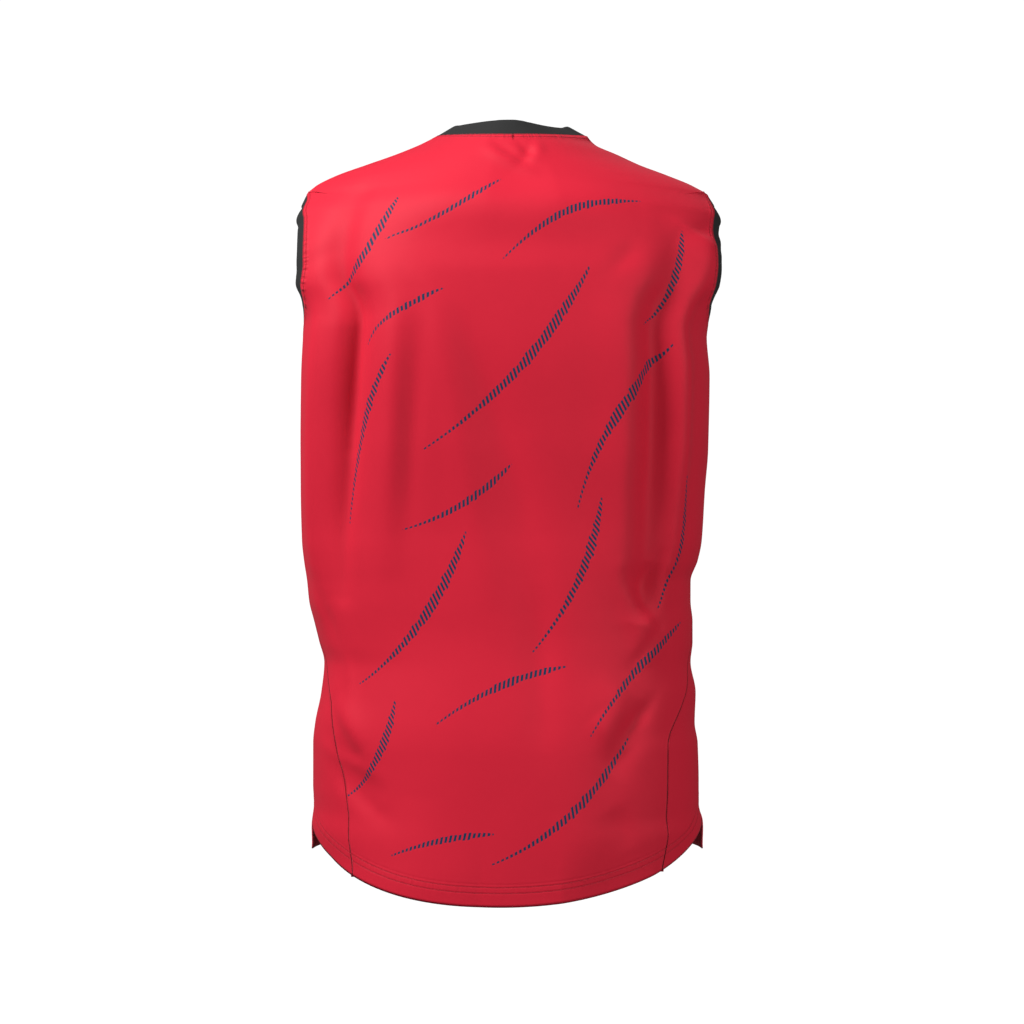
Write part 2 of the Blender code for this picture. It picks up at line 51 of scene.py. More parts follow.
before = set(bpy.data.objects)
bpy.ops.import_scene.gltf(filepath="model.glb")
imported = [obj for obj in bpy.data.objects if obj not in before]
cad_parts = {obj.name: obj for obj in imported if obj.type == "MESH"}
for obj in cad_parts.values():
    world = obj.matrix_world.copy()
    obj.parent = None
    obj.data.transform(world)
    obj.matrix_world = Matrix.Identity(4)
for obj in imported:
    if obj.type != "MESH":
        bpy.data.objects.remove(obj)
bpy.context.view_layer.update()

MM = 0.001
SIDES = (("left", 1), ("right", -1))


def table(columns, *rows):
    """Rows of numbers whose columns have names."""
    row_kind = namedtuple("Row", columns)
    return tuple(row_kind(*row) for row in rows)


# Neckline, seen from the front
NECK_HALF_WIDTH = 75
NECK_DROP_BACK = 12
NECK_DROP_FRONT = 88
NECK_CURVE_BACK = 1.5
NECK_CURVE_FRONT = 1.3
NECKBAND_WIDTH = 19
NECKBAND_STAND = 0.3
NECKBAND_SINK = 0.3
NECKBAND_LEAN = 1.6
NECK_CENTRE = (0, 0, 60)

# Armhole, an egg seen from the side
ARMHOLE_TOP = -54
ARMHOLE_BOTTOM = -201
ARMHOLE_MIDDLE = (ARMHOLE_TOP + ARMHOLE_BOTTOM) / 2
ARMHOLE_AXIS = -13
ARMHOLE_BACK = 80
ARMHOLE_FRONT = 58
ARMHOLE_EGG = 0.25
ARMHOLE_EASE_TOP = 30
ARMHOLE_EASE_BOTTOM = 48
ARM_BAND_WIDTH = 14
ARM_BAND_TURN_IN = 0.35
ARM_BAND_MIDDLE = 205
SHOULDER_SEAM_FORWARD = -ARMHOLE_AXIS

# Hems and vents
TAIL_HEM = -741
TAIL_RISE = 77
TAIL_TILT = 3
TAIL_ACROSS_POWER = 2.05
TAIL_DOWN_POWER = 2.05
VENT_TOP = -664
FRONT_HEM = -709
CORNER_FLARE = 5
CORNER_FLARE_REACH = 20

# Sewing
HEM_DEPTH = 21
HEM_STITCH_ROWS = (13, 18.5)
VENT_HEM_DEPTH = 12
VENT_STITCH_ROW = 9
TOPSTITCH_FROM_NECK = 5
TOPSTITCH_FROM_ARMHOLE = 3.6
STITCH_LENGTH = 2.6
STITCH_SPACE = 0.5
STITCH_THICKNESS = 0.42
HEM_GAP = 0.05
HEM_ROWS = 5
BAND_TUCK = 1.4
BAND_SINK = 0.3
BAND_BEND = 3
BAND_SECTION_STEPS = 28
OVERLOCK_SECTION_STEPS = 14
SECTION_UP_POWER = 0.45
SECTION_OUT_POWER = 0.55
OVERLOCK_WIDTH = 5.5
OVERLOCK_THICKNESS = 1.3
OVERLOCK_PITCH = 1.6

# What sewing does to the cloth near a hem, band or seam: where, how wide, how high, how
# unevenly puckered and how darkly it is painted with the shade of its dents, folds and
# grooves. The ridge beside a seam gets its height in each material.
FAR = 45.0
SEAM_RIDGE_FROM_SEAM = 1.2
SEAM_RIDGE_WIDTH = 1.1
SEWING_MARKS = table(
    "name beside centre width height pucker shade",
    ("hem's lower stitches", "hem", HEM_STITCH_ROWS[0], 0.7, -0.22, 0, 0.30),
    ("hem's upper stitches", "hem", HEM_STITCH_ROWS[1], 0.7, -0.22, 0, 0.30),
    ("hem's pucker", "hem", 15.8, 6, 0, 0.55, 0),
    ("hem's step", "hem", 21.2, 1.1, -0.12, 0, 0),
    ("hem's folded edge", "hem", 0, 0.9, -0.5, 0, 0.35),
    ("band's stitches", "band", 4.8, 0.6, -0.6, 0, 0.4),
    ("band's pucker", "band", 3.5, 3.5, 0.5, 2.6, 0),
    ("band's edge", "band", 0, 1.2, -0.6, 0, 0.35),
    ("seam's groove", "seam", 0, 0.5, -0.5, 0, 0.55),
)

# Ticks of the print
TICK_LEAN = 0.55
TICK_LEAST_HALF = 0.9
TICK_SOFT_END = 0.3
TICK_SOFT_SIDE = 0.2

# Rows of faces in each zone of a panel, from the hem up, and columns
BACK_ROWS = (176, 46, 36)
FRONT_ROWS = (16, 150, 42, 36)
SIDE_ROWS = (176,)
SIDE_COLUMNS = 48
FRONT_FEWER_COLUMNS = 12

# Steps and limits of the reckoning: small steps in degrees and mm, and metres between edges
# that are one
TURN_STEP = 0.4
HEIGHT_STEP = 0.6
HALVINGS = 50
POINTS_AT_ONCE = 3000
LOOK_AHEAD = 0.5
LEAST_EDGE_SHARE = 0.5
MEETING_EDGES = 0.000002

# Turn from the armhole's top that still tells behind from in front
NEAR_TOP = 0.01

# Distance round the body for the folds: a circle's, with a swell at the sides
ROUND_RADIUS = 160
ROUND_SWELL = 20
FOLD_END = 0.08

# The name of what the red cloth is made of
RED = "red_knit"

# Stage, in metres
FLOOR_HALF = 14
LIGHT_SIZE = 0.7
KEY_LIGHT = ((1.60, 1.13, 1.42), (0, 0, -0.38))
RIGHT_LIGHT = ((-1.56, 1.56, -0.05), (0, 0, -0.4))
BACKDROP = 1.05
SENSOR = 36
WHITE = (1, 1, 1, 1)

# Half-widths of the outline. At armhole heights they reach the panels' armhole edges.
OUTLINE = table(
    "z left right",
    (-745, 196, 185), (-709, 195, 186), (-681, 198, 189), (-661, 196, 185), (-641, 197, 185),
    (-601, 197, 184), (-581, 195, 181), (-551, 189, 182), (-521, 186, 177), (-501, 191, 179),
    (-481, 196, 179), (-461, 201, 177), (-441, 203, 177), (-421, 206, 184), (-401, 208, 188),
    (-351, 209, 191), (-311, 209, 194), (-241, 208, 195), (-201, 206, 192), (-181, 205, 195),
    (-161, 202, 195), (-131, 201, 195), (-91, 202, 196), (-71, 207, 200), (-61, 206, 197),
    (-51, 197, 182), (-41, 178, 158), (-31, 150, 131), (-21, 121, 109), (-11, 96, 86), (-4, 82, 78),
    (0, 75, 75), (8, 56, 60),
)

# Depths from the shoulder line, and how flat each section's middle, round its sides and soft
# its crown are
DEPTHS = table(
    "z back front flat round soft",
    (-745, 122, 118, 2.4, 2.2, 0.0),
    (-600, 120, 118, 2.4, 2.2, 0.0),
    (-480, 110, 116, 2.4, 2.2, 0.0),
    (-400, 110, 116, 2.5, 2.3, 0.0),
    (-300, 118, 120, 2.7, 2.5, 0.0),
    (-200, 127, 126, 2.9, 2.7, 0.0),
    (-150, 128, 117, 2.4, 2.2, 0.0),
    (-120, 124, 106, 2.1, 2.0, 0.05),
    (-88, 117, 92, 1.8, 1.8, 0.1),
    (-56, 104, 79, 1.5, 1.65, 0.15),
    (-30, 91, 67, 1.35, 1.6, 0.2),
    (-12, 77, 57, 1.3, 1.6, 0.25),
    (0, 62, 50, 1.3, 1.6, 0.25),
    (12, 46, 42, 1.3, 1.6, 0.25),
)

# Lead angles of the long seams
SEAMS = table(
    "z back_left back_right front",
    (-745, 42, 41, -3),
    (-650, 37, 37, -3),
    (-600, 31, 36, -4),
    (-560, 24, 26, -5),
    (-520, 13, 14, -6),
    (-440, 5, 5, -9),
    (-300, 1, 1, -13),
    (-201, 0, 0, -16),
)

# The largest folds, as ridges (height over 0) and troughs (under 0) between two places.
# Round is the distance round the body from the centre back, + towards the left.
FOLD = "name round_1 z_1 round_2 z_2 half_width height"
FOLDS = table(
    FOLD,
    ("left side ridge", 192, -150, 204, -440, 22, 3.5),
    ("left valley", 134, -130, 172, -450, 24, -5.0),
    ("left blade ridge", 102, -140, 128, -470, 26, 4.0),
    ("middle ridge", 62, -110, -6, -470, 34, 3.0),
    ("middle trough", 48, -120, -34, -560, 26, -4.0),
    ("right blade ridge", -106, -130, -112, -430, 24, 4.0),
    ("right valley", -140, -110, -142, -430, 22, -5.0),
    ("right side ridge", -176, -140, -172, -400, 18, 3.0),
    ("right armhole ridge", -148, -106, -200, -150, 12, 3.0),
    ("right waist hollow", -150, -420, -140, -480, 20, -6.0),
    ("right waist ridge", -118, -430, -156, -520, 15, 5.0),
    ("right hip hollow", -138, -550, -100, -620, 18, -5.0),
    ("right hip ridge", -122, -600, -90, -560, 18, 4.0),
    ("left hip ridge", 190, -550, 150, -600, 16, 4.0),
    ("left hip hollow", 186, -590, 130, -650, 16, -4.0),
    ("neck hollow", 20, -66, -40, -66, 26, -3.0),
    ("front left ridge", 345, -190, 300, -600, 30, 4.0),
    ("front left valley", 395, -210, 350, -620, 32, -5.0),
    ("front middle ridge", 450, -230, 430, -640, 34, 4.0),
    ("front right ridge", -350, -200, -310, -560, 30, 4.0),
    ("front right valley", -400, -190, -365, -600, 32, -5.0),
    ("front chest trough", 470, -140, 540, -330, 26, -3.0),
)

# Finer folds, which the cloth has and the solids leave out
FINE_FOLDS = table(
    FOLD,
    ("left valley floor", 138, -70, 167, -450, 13, -8.4),
    ("left valley head", 149, -80, 158, -310, 13, -6.0),
    ("left edge crest", 194, -150, 206, -470, 12, 3.4),
    ("left blade crest", 106, -150, 114, -420, 12, 3.0),
    ("left blade crease", 88, -170, 94, -400, 10, -1.4),
    ("left inner dark", 78, -170, 92, -360, 9, -1.0),
    ("middle crease", 66, -124, -30, -420, 15, -2.2),
    ("middle light", 74, -160, 22, -450, 12, 1.6),
    ("middle lower crease", -30, -440, -32, -600, 16, -2.2),
    ("right blade crest", -118, -130, -116, -430, 12, 2.4),
    ("right valley floor", -144, -120, -142, -440, 12, -5.4),
    ("right edge crest", -175, -120, -173, -470, 11, 6.4),
    ("blade swell", 112, -84, -112, -84, 28, 8.0),
    ("tail swell", 190, -740, 30, -742, 60, 9.0),
    ("tail tuck", -50, -742, -150, -742, 50, -5.0),
    ("right armhole wedge", -150, -108, -206, -96, 8, -2.2),
    ("right armhole light", -140, -96, -198, -128, 7, 2.2),
    ("right shoulder crease", -104, -122, -84, -150, 9, -1.4),
    ("left armhole crease", 206, -150, 150, -120, 8, -1.3),
    ("neck ridge left", 44, -22, -22, -54, 6, 1.9),
    ("neck ridge right", -34, -22, -2, -50, 6, -1.7),
    ("neck crease left", 30, -20, -26, -44, 5, -1.4),
    ("neck crease right", -8, -22, -34, -34, 6, -2.0),
    ("neck light right", -52, -20, -20, -44, 6, 1.4),
    ("waist crease right", -164, -404, -140, -470, 9, -2.6),
    ("waist light right", -128, -450, -166, -500, 8, 2.4),
    ("waist crease low right", -176, -470, -130, -520, 8, -2.2),
    ("hip crease right", -156, -548, -112, -590, 8, -2.2),
    ("hip light right", -98, -540, -132, -580, 10, 1.8),
    ("hip dark low right", -104, -650, -120, -690, 16, -1.6),
    ("hip crease left", 196, -560, 150, -610, 8, -1.8),
    ("hip light left", 200, -600, 130, -622, 8, 1.8),
    ("hip crease low left", 186, -622, 120, -664, 9, -1.6),
    ("waist crease left", 206, -440, 178, -520, 9, -1.8),
    ("waist light left", 192, -470, 168, -560, 9, 1.5),
    ("tail wave left", 90, -640, 84, -735, 26, 1.5),
    ("tail wave right", -60, -650, -70, -735, 26, 1.5),
    ("front chest crease left", 400, -150, 360, -330, 11, -1.8),
    ("front chest crease right", -380, -150, -350, -330, 11, -1.8),
    ("front chest light left", 424, -170, 400, -360, 12, 1.6),
    ("front chest light right", -420, -160, -396, -350, 12, 1.6),
    ("front waist crease left", 330, -440, 380, -500, 9, -2.2),
    ("front waist crease right", -320, -430, -370, -480, 9, -2.2),
    ("front hip light left", 320, -560, 390, -600, 10, 1.8),
    ("front hip crease right", -310, -560, -390, -610, 10, -1.8),
    ("front neck crease left", 452, -96, 430, -140, 8, -1.4),
    ("front neck crease right", -450, -96, -432, -146, 8, -1.4),
    ("front hem wave left", 400, -640, 396, -705, 24, 1.6),
    ("front hem wave right", -420, -640, -424, -705, 24, -1.6),
)

# The printed motif: bowed blades of slanted ticks. Each has its middle on the cloth (towards
# the wearer's left from the centre line, and up from the hem), its slant, length, bow and
# greatest half-height.
BLADE = "left up slant length bow half_height"
BACK_BLADES = table(
    BLADE,
    (150, 640, 128, 128, 10, 6.0), (104, 556, 146, 96, -8, 4.6), (66, 664, 158, 120, 9, 3.8),
    (-60, 644, 150, 158, -12, 5.6), (-150, 600, 112, 112, 9, 5.2), (6, 516, 132, 236, 18, 6.4),
    (140, 440, 108, 168, -12, 6.2), (-112, 452, 122, 190, -16, 6.8), (52, 384, 150, 120, 9, 4.4),
    (-164, 340, 104, 134, 10, 5.6), (98, 276, 126, 186, 15, 6.6), (-52, 310, 114, 160, 12, 5.8),
    (10, 196, 156, 134, -9, 5.0), (-128, 206, 136, 150, -12, 6.0), (140, 132, 116, 126, 10, 5.2),
    (-48, 92, 142, 170, 12, 6.2), (66, 52, 162, 104, -7, 4.0),
)
FRONT_BLADES = table(
    BLADE,
    (-128, 500, 62, 130, 10, 6.0), (60, 520, 40, 158, -11, 5.6), (136, 440, 68, 126, 9, 5.4),
    (-40, 430, 52, 204, 15, 6.6), (-136, 330, 74, 142, -11, 6.0), (70, 350, 58, 176, 13, 6.4),
    (0, 270, 30, 122, 8, 4.6), (-90, 190, 54, 162, 12, 6.2), (126, 214, 64, 138, -10, 5.8),
    (30, 130, 42, 144, 10, 5.6), (-140, 90, 70, 104, 8, 5.0), (108, 70, 48, 118, 8, 5.2),
)


# Curves and vectors


@functools.cache
def knots(rows, name):
    """Heights, values, steps and slopes of one column of a table."""
    at = np.array([row.z for row in rows], float)
    value = np.array([getattr(row, name) for row in rows], float)
    step = np.diff(at)
    rise = np.diff(value) / step
    slope = np.zeros_like(value)
    slope[0] = rise[0]
    slope[-1] = rise[-1]
    same_way = rise[:-1] * rise[1:] > 0
    both = rise[:-1][same_way] + rise[1:][same_way]
    slope[1:-1][same_way] = 2 * rise[:-1][same_way] * rise[1:][same_way] / both
    return at, value, step, slope


def through(rows, name, z):
    """A smooth curve through one column of a table, with no overshoot between its rows."""
    at, value, step, slope = knots(rows, name)
    z = np.clip(z, at[0], at[-1])
    row = np.clip(np.searchsorted(at, z) - 1, 0, len(step) - 1)
    part = (z - at[row]) / step[row]
    bend = part * (1 - part) * step[row]
    return (
        value[row]
        + (value[row + 1] - value[row]) * part * part * (3 - 2 * part)
        + bend * (slope[row] * (1 - part) - slope[row + 1] * part)
    )


def ease(part):
    part = np.clip(part, 0, 1)
    return part * part * (3 - 2 * part)


def mix(first, second, part):
    return first + (second - first) * part


def unit(vectors):
    return vectors / np.linalg.norm(vectors, axis=-1, keepdims=True)


def run_along(points):
    """Distance along a line of points, at each point."""
    return np.concatenate([[0], np.cumsum(np.linalg.norm(np.diff(points, axis=0), axis=1))])


# The form


def depth_share(across, z):
    """Share of a section's depth at this share of its half-width."""
    soft = through(DEPTHS, "soft", z)
    eased = (np.hypot(across, soft) - soft) / (np.hypot(1, soft) - soft)
    left_over = np.clip(1 - eased ** through(DEPTHS, "flat", z), 0, 1)
    return left_over ** (1 / through(DEPTHS, "round", z))


def across_share(depth, z):
    """The other way round: share of the half-width at this share of the depth."""
    soft = through(DEPTHS, "soft", z)
    left_over = np.clip(1 - depth ** through(DEPTHS, "round", z), 0, 1)
    eased = left_over ** (1 / through(DEPTHS, "flat", z))
    reach = eased * (np.hypot(1, soft) - soft) + soft
    return np.sqrt(np.clip(reach**2 - soft**2, 0, 1))


def full_depth(behind, z):
    return np.where(behind, through(DEPTHS, "back", z), through(DEPTHS, "front", z))


def armhole(turn):
    """(y, z) of the armhole's edge. Its turn is 0 at the top, + behind and - in front."""
    cosine = np.cos(np.radians(turn))
    swell = np.abs(np.sin(np.radians(turn))) * (1 - ARMHOLE_EGG * cosine)
    y = ARMHOLE_AXIS + np.where(turn > 0, ARMHOLE_BACK, -ARMHOLE_FRONT) * swell
    return y, ARMHOLE_MIDDLE + (ARMHOLE_TOP - ARMHOLE_MIDDLE) * cosine


def half_width(left, behind, z):
    """The outline, widened at armhole heights so that the armhole's edge stands on it."""
    outline = np.where(left, through(OUTLINE, "left", z), through(OUTLINE, "right", z))
    cosine = np.clip((z - ARMHOLE_MIDDLE) / (ARMHOLE_TOP - ARMHOLE_MIDDLE), -1, 1)
    swell = np.sqrt(1 - cosine**2) * (1 - ARMHOLE_EGG * cosine)
    reach = np.where(behind, ARMHOLE_AXIS + ARMHOLE_BACK * swell, ARMHOLE_FRONT * swell)
    edge = across_share(np.clip(reach, 0, None) / full_depth(behind, z), z)
    fade = ease((ARMHOLE_TOP - z) / ARMHOLE_EASE_TOP)
    fade = fade * ease((z - ARMHOLE_BOTTOM) / ARMHOLE_EASE_BOTTOM)
    return outline * (1 + fade * (1 / np.maximum(edge, LEAST_EDGE_SHARE) - 1))


def plain_form(turn, z):
    """Points of the form without its folds, one row each."""
    cosine = np.cos(np.radians(turn))
    sine = np.sin(np.radians(turn))
    across = np.abs(cosine)
    x = cosine * half_width(cosine >= 0, sine >= 0, z)
    y = np.sign(sine) * full_depth(sine >= 0, z) * depth_share(across, z)
    return np.stack([x, y, z + 0 * x], axis=-1)


def normals_of(surface, turn, z):
    """Outward unit normals of a surface given by turn and height."""
    round_way = surface(turn + TURN_STEP, z) - surface(turn - TURN_STEP, z)
    up_way = surface(turn, z + HEIGHT_STEP) - surface(turn, z - HEIGHT_STEP)
    return unit(np.cross(round_way, up_way))


def round_of(turn):
    """Distance round the body from the centre back, + towards the left, up to +-503."""
    angle = np.radians((90 - turn + 180) % 360 - 180)
    return ROUND_RADIUS * angle + ROUND_SWELL * np.sin(2 * angle)


def fold_height(turn, z, folds):
    """Height of all the folds together, over the plain form."""
    place = round_of(turn)
    whole = 2 * math.pi * ROUND_RADIUS
    height = 0 * place * z
    for fold in folds:
        along = np.array([fold.round_2 - fold.round_1, fold.z_2 - fold.z_1], float)
        length = np.hypot(*along)
        across = (place - fold.round_1 + whole / 2) % whole - whole / 2
        down = z - fold.z_1
        part = (across * along[0] + down * along[1]) / length**2
        aside_of = (across * along[1] - down * along[0]) / length
        inside = np.clip(part, 0, 1)
        past = (part - inside) * length
        taper = np.sin(math.pi * mix(FOLD_END, 1 - FOLD_END, inside))
        height = height + fold.height * taper * np.exp(
            -(aside_of**2 + past**2) / fold.half_width**2
        )
    return height


# Places of the seams and edges: (lead, height) pairs


def turn_of(side, lead):
    return np.where(side > 0, lead, 180 - lead)


def lead_of(behind, across):
    """Lead angle at this share of the half-width."""
    lead = np.degrees(np.arccos(np.clip(across, -1, 1)))
    return np.where(behind, lead, -lead)


def lead_at(behind, y, z):
    """Lead angle of the form's point at this depth and height."""
    return lead_of(behind, across_share(np.abs(y) / full_depth(behind, z), z))


def armhole_place(turn):
    y, z = armhole(turn)
    return lead_at(y >= 0, y, z), z


def neck_place(side, angle):
    """Neckline at an angle from the wearer's side, + behind and - in front."""
    sine = np.abs(np.sin(np.radians(angle)))
    behind = angle > 0
    drop = np.where(
        behind,
        NECK_DROP_BACK * sine**NECK_CURVE_BACK,
        NECK_DROP_FRONT * sine**NECK_CURVE_FRONT,
    )
    across = NECK_HALF_WIDTH * np.cos(np.radians(angle)) / half_width(side > 0, behind, -drop)
    return lead_of(behind, across), -drop


def solve(wanted, low, high):
    """Where a rising function passes 0."""
    for _ in range(HALVINGS):
        middle = (low + high) / 2
        if wanted(middle) < 0:
            low = middle
        else:
            high = middle
    return (low + high) / 2


@functools.cache
def neck_seam_angle(side):
    """Where the shoulder seam meets the neckline."""

    def past_seam(angle):
        lead, z = neck_place(side, np.array(angle))
        return plain_form(turn_of(side, lead), z)[1] + SHOULDER_SEAM_FORWARD

    return solve(past_seam, -20.0, -NEAR_TOP)


def seam_lead(name, z):
    return through(SEAMS, name, z)


def back_seam_name(side):
    return "back_left" if side > 0 else "back_right"


def tail_hem(side, lead):
    """Height of the drop tail's rounded hem."""
    part = (90 - lead) / (90 - seam_lead("front", VENT_TOP))
    across = np.clip(np.sin(np.radians(90 * np.clip(part, 0, 1))), 0, 1)
    rise = 1 - (1 - across**TAIL_ACROSS_POWER) ** (1 / TAIL_DOWN_POWER)
    tilt = TAIL_TILT * across if side < 0 else -TAIL_TILT * across * (1 - across)
    return TAIL_HEM + TAIL_RISE * rise + tilt


@functools.cache
def underarm_turn(behind):
    """Where the armhole meets the side panel's back or front seam."""
    if behind:
        return solve(lambda turn: -armhole(np.array(turn))[0], 90.0, 179.9)
    seam = seam_lead("front", ARMHOLE_BOTTOM)
    return solve(lambda turn: seam - armhole_place(np.array(turn))[0], -179.0, -100.0)


def back_seam_place(side, part):
    """Back and side panels' seam, part 0 at the hem and 1 at the armhole."""
    name = back_seam_name(side)
    hem = tail_hem(side, seam_lead(name, TAIL_HEM))
    z = mix(hem, armhole_place(np.array(underarm_turn(True)))[1], part)
    return seam_lead(name, z), z


def front_seam_place(part):
    """Front and side panels' seam, part 0 at the vent's top and 1 at the armhole."""
    z = mix(VENT_TOP, armhole_place(np.array(underarm_turn(False)))[1], part)
    return seam_lead("front", z), z


def shoulder_seam_place(side, part):
    """Shoulder seam, part 0 at the armhole and 1 at the neck."""
    neck_z = neck_place(side, np.array(neck_seam_angle(side)))[1]
    z = mix(ARMHOLE_TOP, neck_z, part)
    return lead_at(False, SHOULDER_SEAM_FORWARD, z), z


# The cloth's faces


def corner_flare(points, turn, z):
    """The front's hem corners stand out a little at the vents."""
    lead = np.where(np.cos(np.radians(turn)) > 0, turn, 180 - turn)
    lead = (lead + 180) % 360 - 180
    near = np.exp(-(((lead - seam_lead("front", z)) / CORNER_FLARE_REACH) ** 2))
    down = np.clip((VENT_TOP - z) / (VENT_TOP - FRONT_HEM), 0, 1)
    points = points.copy()
    points[..., 0] += np.sign(points[..., 0]) * CORNER_FLARE * near * down
    return points


def cloth_face(turn, z):
    """Points of the cloth's outer face, with every fold."""
    height = fold_height(turn, z, FOLDS) + fold_height(turn, z, FINE_FOLDS)
    return plain_form(turn, z) + normals_of(plain_form, turn, z) * height[..., None]


def front_face(turn, z):
    return corner_flare(cloth_face(turn, z), turn, z)


# Panels: a row across a panel, for shares 0 to 1 from its middle to one side's edge


def panel_row(part, edge, middle_z, middle_lead):
    return mix(middle_lead, edge[0], part), mix(middle_z, edge[1], ease(part))


def neck_mend(side, part, middle_z, middle_lead):
    """What takes a panel's straight top row to the neckline: (lead, height) steps."""
    plain_lead, plain_z = panel_row(part, shoulder_seam_place(side, 1), middle_z, middle_lead)
    lead, z = neck_place(side, mix(middle_lead, neck_seam_angle(side), part))
    return lead - plain_lead, z - plain_z


# How far up the hem's curve shows in the rows, and how late the neck's and armhole's do
HEM_MEND_REACH = 0.3
NECK_MEND_POWER = 1.5
TOP_MEND_POWER = 6

# Heights of the rows' middles, at each station
BACK_MIDDLE = (TAIL_HEM, -203, -76, -NECK_DROP_BACK)
FRONT_MIDDLE = (FRONT_HEM, VENT_TOP + 2, -203, -110, -NECK_DROP_FRONT)


def back_row(side, part, station):
    """Station 0 at the hem, 1 at the underarm, 2 at the shoulder and 3 at the neck."""
    zone = min(int(station), 2)
    local = station - zone
    if zone == 0:
        edge = back_seam_place(side, local)
    elif zone == 1:
        edge = armhole_place(np.array(mix(underarm_turn(True), NEAR_TOP, local)))
    else:
        edge = shoulder_seam_place(side, local)
    middle_z = mix(BACK_MIDDLE[zone], BACK_MIDDLE[zone + 1], local)
    lead, z = panel_row(part, edge, middle_z, 90)
    if zone == 0:
        hem_z = panel_row(part, back_seam_place(side, 0), TAIL_HEM, 90)[1]
        z = z + (tail_hem(side, lead) - hem_z) * (1 - ease(local / HEM_MEND_REACH))
    if zone == 2:
        lead_step, z_step = neck_mend(side, part, -NECK_DROP_BACK, 90)
        grown = local**NECK_MEND_POWER
        lead, z = lead + lead_step * grown, z + z_step * grown
    return turn_of(side, lead), z


def front_row(side, part, station):
    """Station 0 at the hem, 1 at the vents' tops, then on as on the back."""
    zone = min(int(station), 3)
    local = station - zone
    if zone < 2:
        z_edge = mix(FRONT_HEM, VENT_TOP, local) if zone == 0 else front_seam_place(local)[1]
        edge = (seam_lead("front", z_edge), z_edge)
    elif zone == 2:
        edge = armhole_place(np.array(mix(underarm_turn(False), -NEAR_TOP, local)))
    else:
        edge = shoulder_seam_place(side, local)
    middle_z = mix(FRONT_MIDDLE[zone], FRONT_MIDDLE[zone + 1], local)
    lead, z = panel_row(part, edge, middle_z, -90)
    if zone == 3:
        lead_step, z_step = neck_mend(side, part, -NECK_DROP_FRONT, -90)
        lead, z = lead + lead_step * local, z + z_step * local
    return turn_of(side, lead), z


def side_row(side, part, station):
    """Part 0 at the back seam and 1 at the front seam. Station 0 at the hem, 1 on top."""
    back_lead, back_z = back_seam_place(side, station)
    front_lead, front_z = front_seam_place(station)
    hem_back, hem_front = back_seam_place(side, 0), front_seam_place(0)
    hem_lead = mix(hem_back[0], hem_front[0], part)
    hem_step = tail_hem(side, hem_lead) - mix(hem_back[1], hem_front[1], part)
    arm_turn = mix(underarm_turn(True), 360 + underarm_turn(False), part)
    arm_turn = np.where(arm_turn < 180, arm_turn, arm_turn - 360)
    top_lead, top_z = armhole_place(arm_turn)
    top_back, top_front = back_seam_place(side, 1), front_seam_place(1)
    lead_step = top_lead - mix(top_back[0], top_front[0], part)
    z_step = top_z - mix(top_back[1], top_front[1], part)
    grown = station**TOP_MEND_POWER
    lead = mix(back_lead, front_lead, part) + lead_step * grown
    z = mix(back_z, front_z, part) + z_step * grown
    return turn_of(side, lead), z + hem_step * (1 - ease(station / HEM_MEND_REACH))


def whole_rows(row, columns, stations):
    """(turns, heights) of a front or back panel's grid, from the wearer's right to left."""
    part = np.linspace(0, 1, columns // 2 + 1)
    turns, heights = [], []
    for station in stations:
        right, left = row(-1, part[::-1], station), row(1, part, station)
        turns.append(np.concatenate([right[0] % 360, left[0][1:] % 360]))
        heights.append(np.concatenate([right[1], left[1][1:]]))
    return np.array(turns), np.array(heights)


def side_rows(side, columns, stations):
    part = np.linspace(0, 1, columns + 1)
    rows = [side_row(side, part, station) for station in stations]
    return np.array([turn for turn, _ in rows]), np.array([z for _, z in rows])


def stations_of(rows_in_zones):
    """Even stations within each zone."""
    stations = [0.0]
    for zone, rows in enumerate(rows_in_zones):
        stations += [zone + (row + 1) / rows for row in range(rows)]
    return stations


# Materials


class Value:
    """A shader socket to reckon with: + - * / make Math nodes in its own tree."""

    def __init__(self, socket):
        self.socket = socket
        self.tree = socket.id_data

    def __add__(self, other):
        return maths("ADD", self, other)

    def __sub__(self, other):
        return maths("SUBTRACT", self, other)

    def __rsub__(self, other):
        return maths("SUBTRACT", other, self)

    def __mul__(self, other):
        return maths("MULTIPLY", self, other)

    def __truediv__(self, other):
        return maths("DIVIDE", self, other)


def feed(sockets, given):
    """Gives sockets, by name or number, a number, a colour or what another socket brings."""
    for name, value in given.items():
        if isinstance(value, Value):
            value.tree.links.new(value.socket, sockets[name])
        else:
            sockets[name].default_value = value


def add_node(tree, kind, given=None, output=0, **settings):
    """A new shader node with its settings and inputs, and one of its outputs."""
    node = tree.nodes.new("ShaderNode" + kind)
    for name, value in settings.items():
        setattr(node, name, value)
    feed(node.inputs, given or {})
    return Value(node.outputs[output])


def maths(operation, *values, **settings):
    """A Math node on sockets or numbers, and its result."""
    tree = next(value.tree for value in values if isinstance(value, Value))
    return add_node(tree, "Math", dict(enumerate(values)), operation=operation, **settings)


def joined(operation, values):
    """One socket from many, such as their sum."""
    return functools.reduce(functools.partial(maths, operation), values)


def bell(distance, centre, width):
    """1 at the centre, falling to 0 over the width on either side."""
    part = (distance - centre) / width
    return maths("EXPONENT", part * part * -1.0)


def parts_of(vector):
    """The first two parts of a vector."""
    outputs = add_node(vector.tree, "SeparateXYZ", {0: vector}).socket.node.outputs
    return Value(outputs["X"]), Value(outputs["Y"])


def noise(vector, scale, detail):
    given = {"Vector": vector, "Scale": scale, "Detail": detail}
    return add_node(vector.tree, "TexNoise", given)


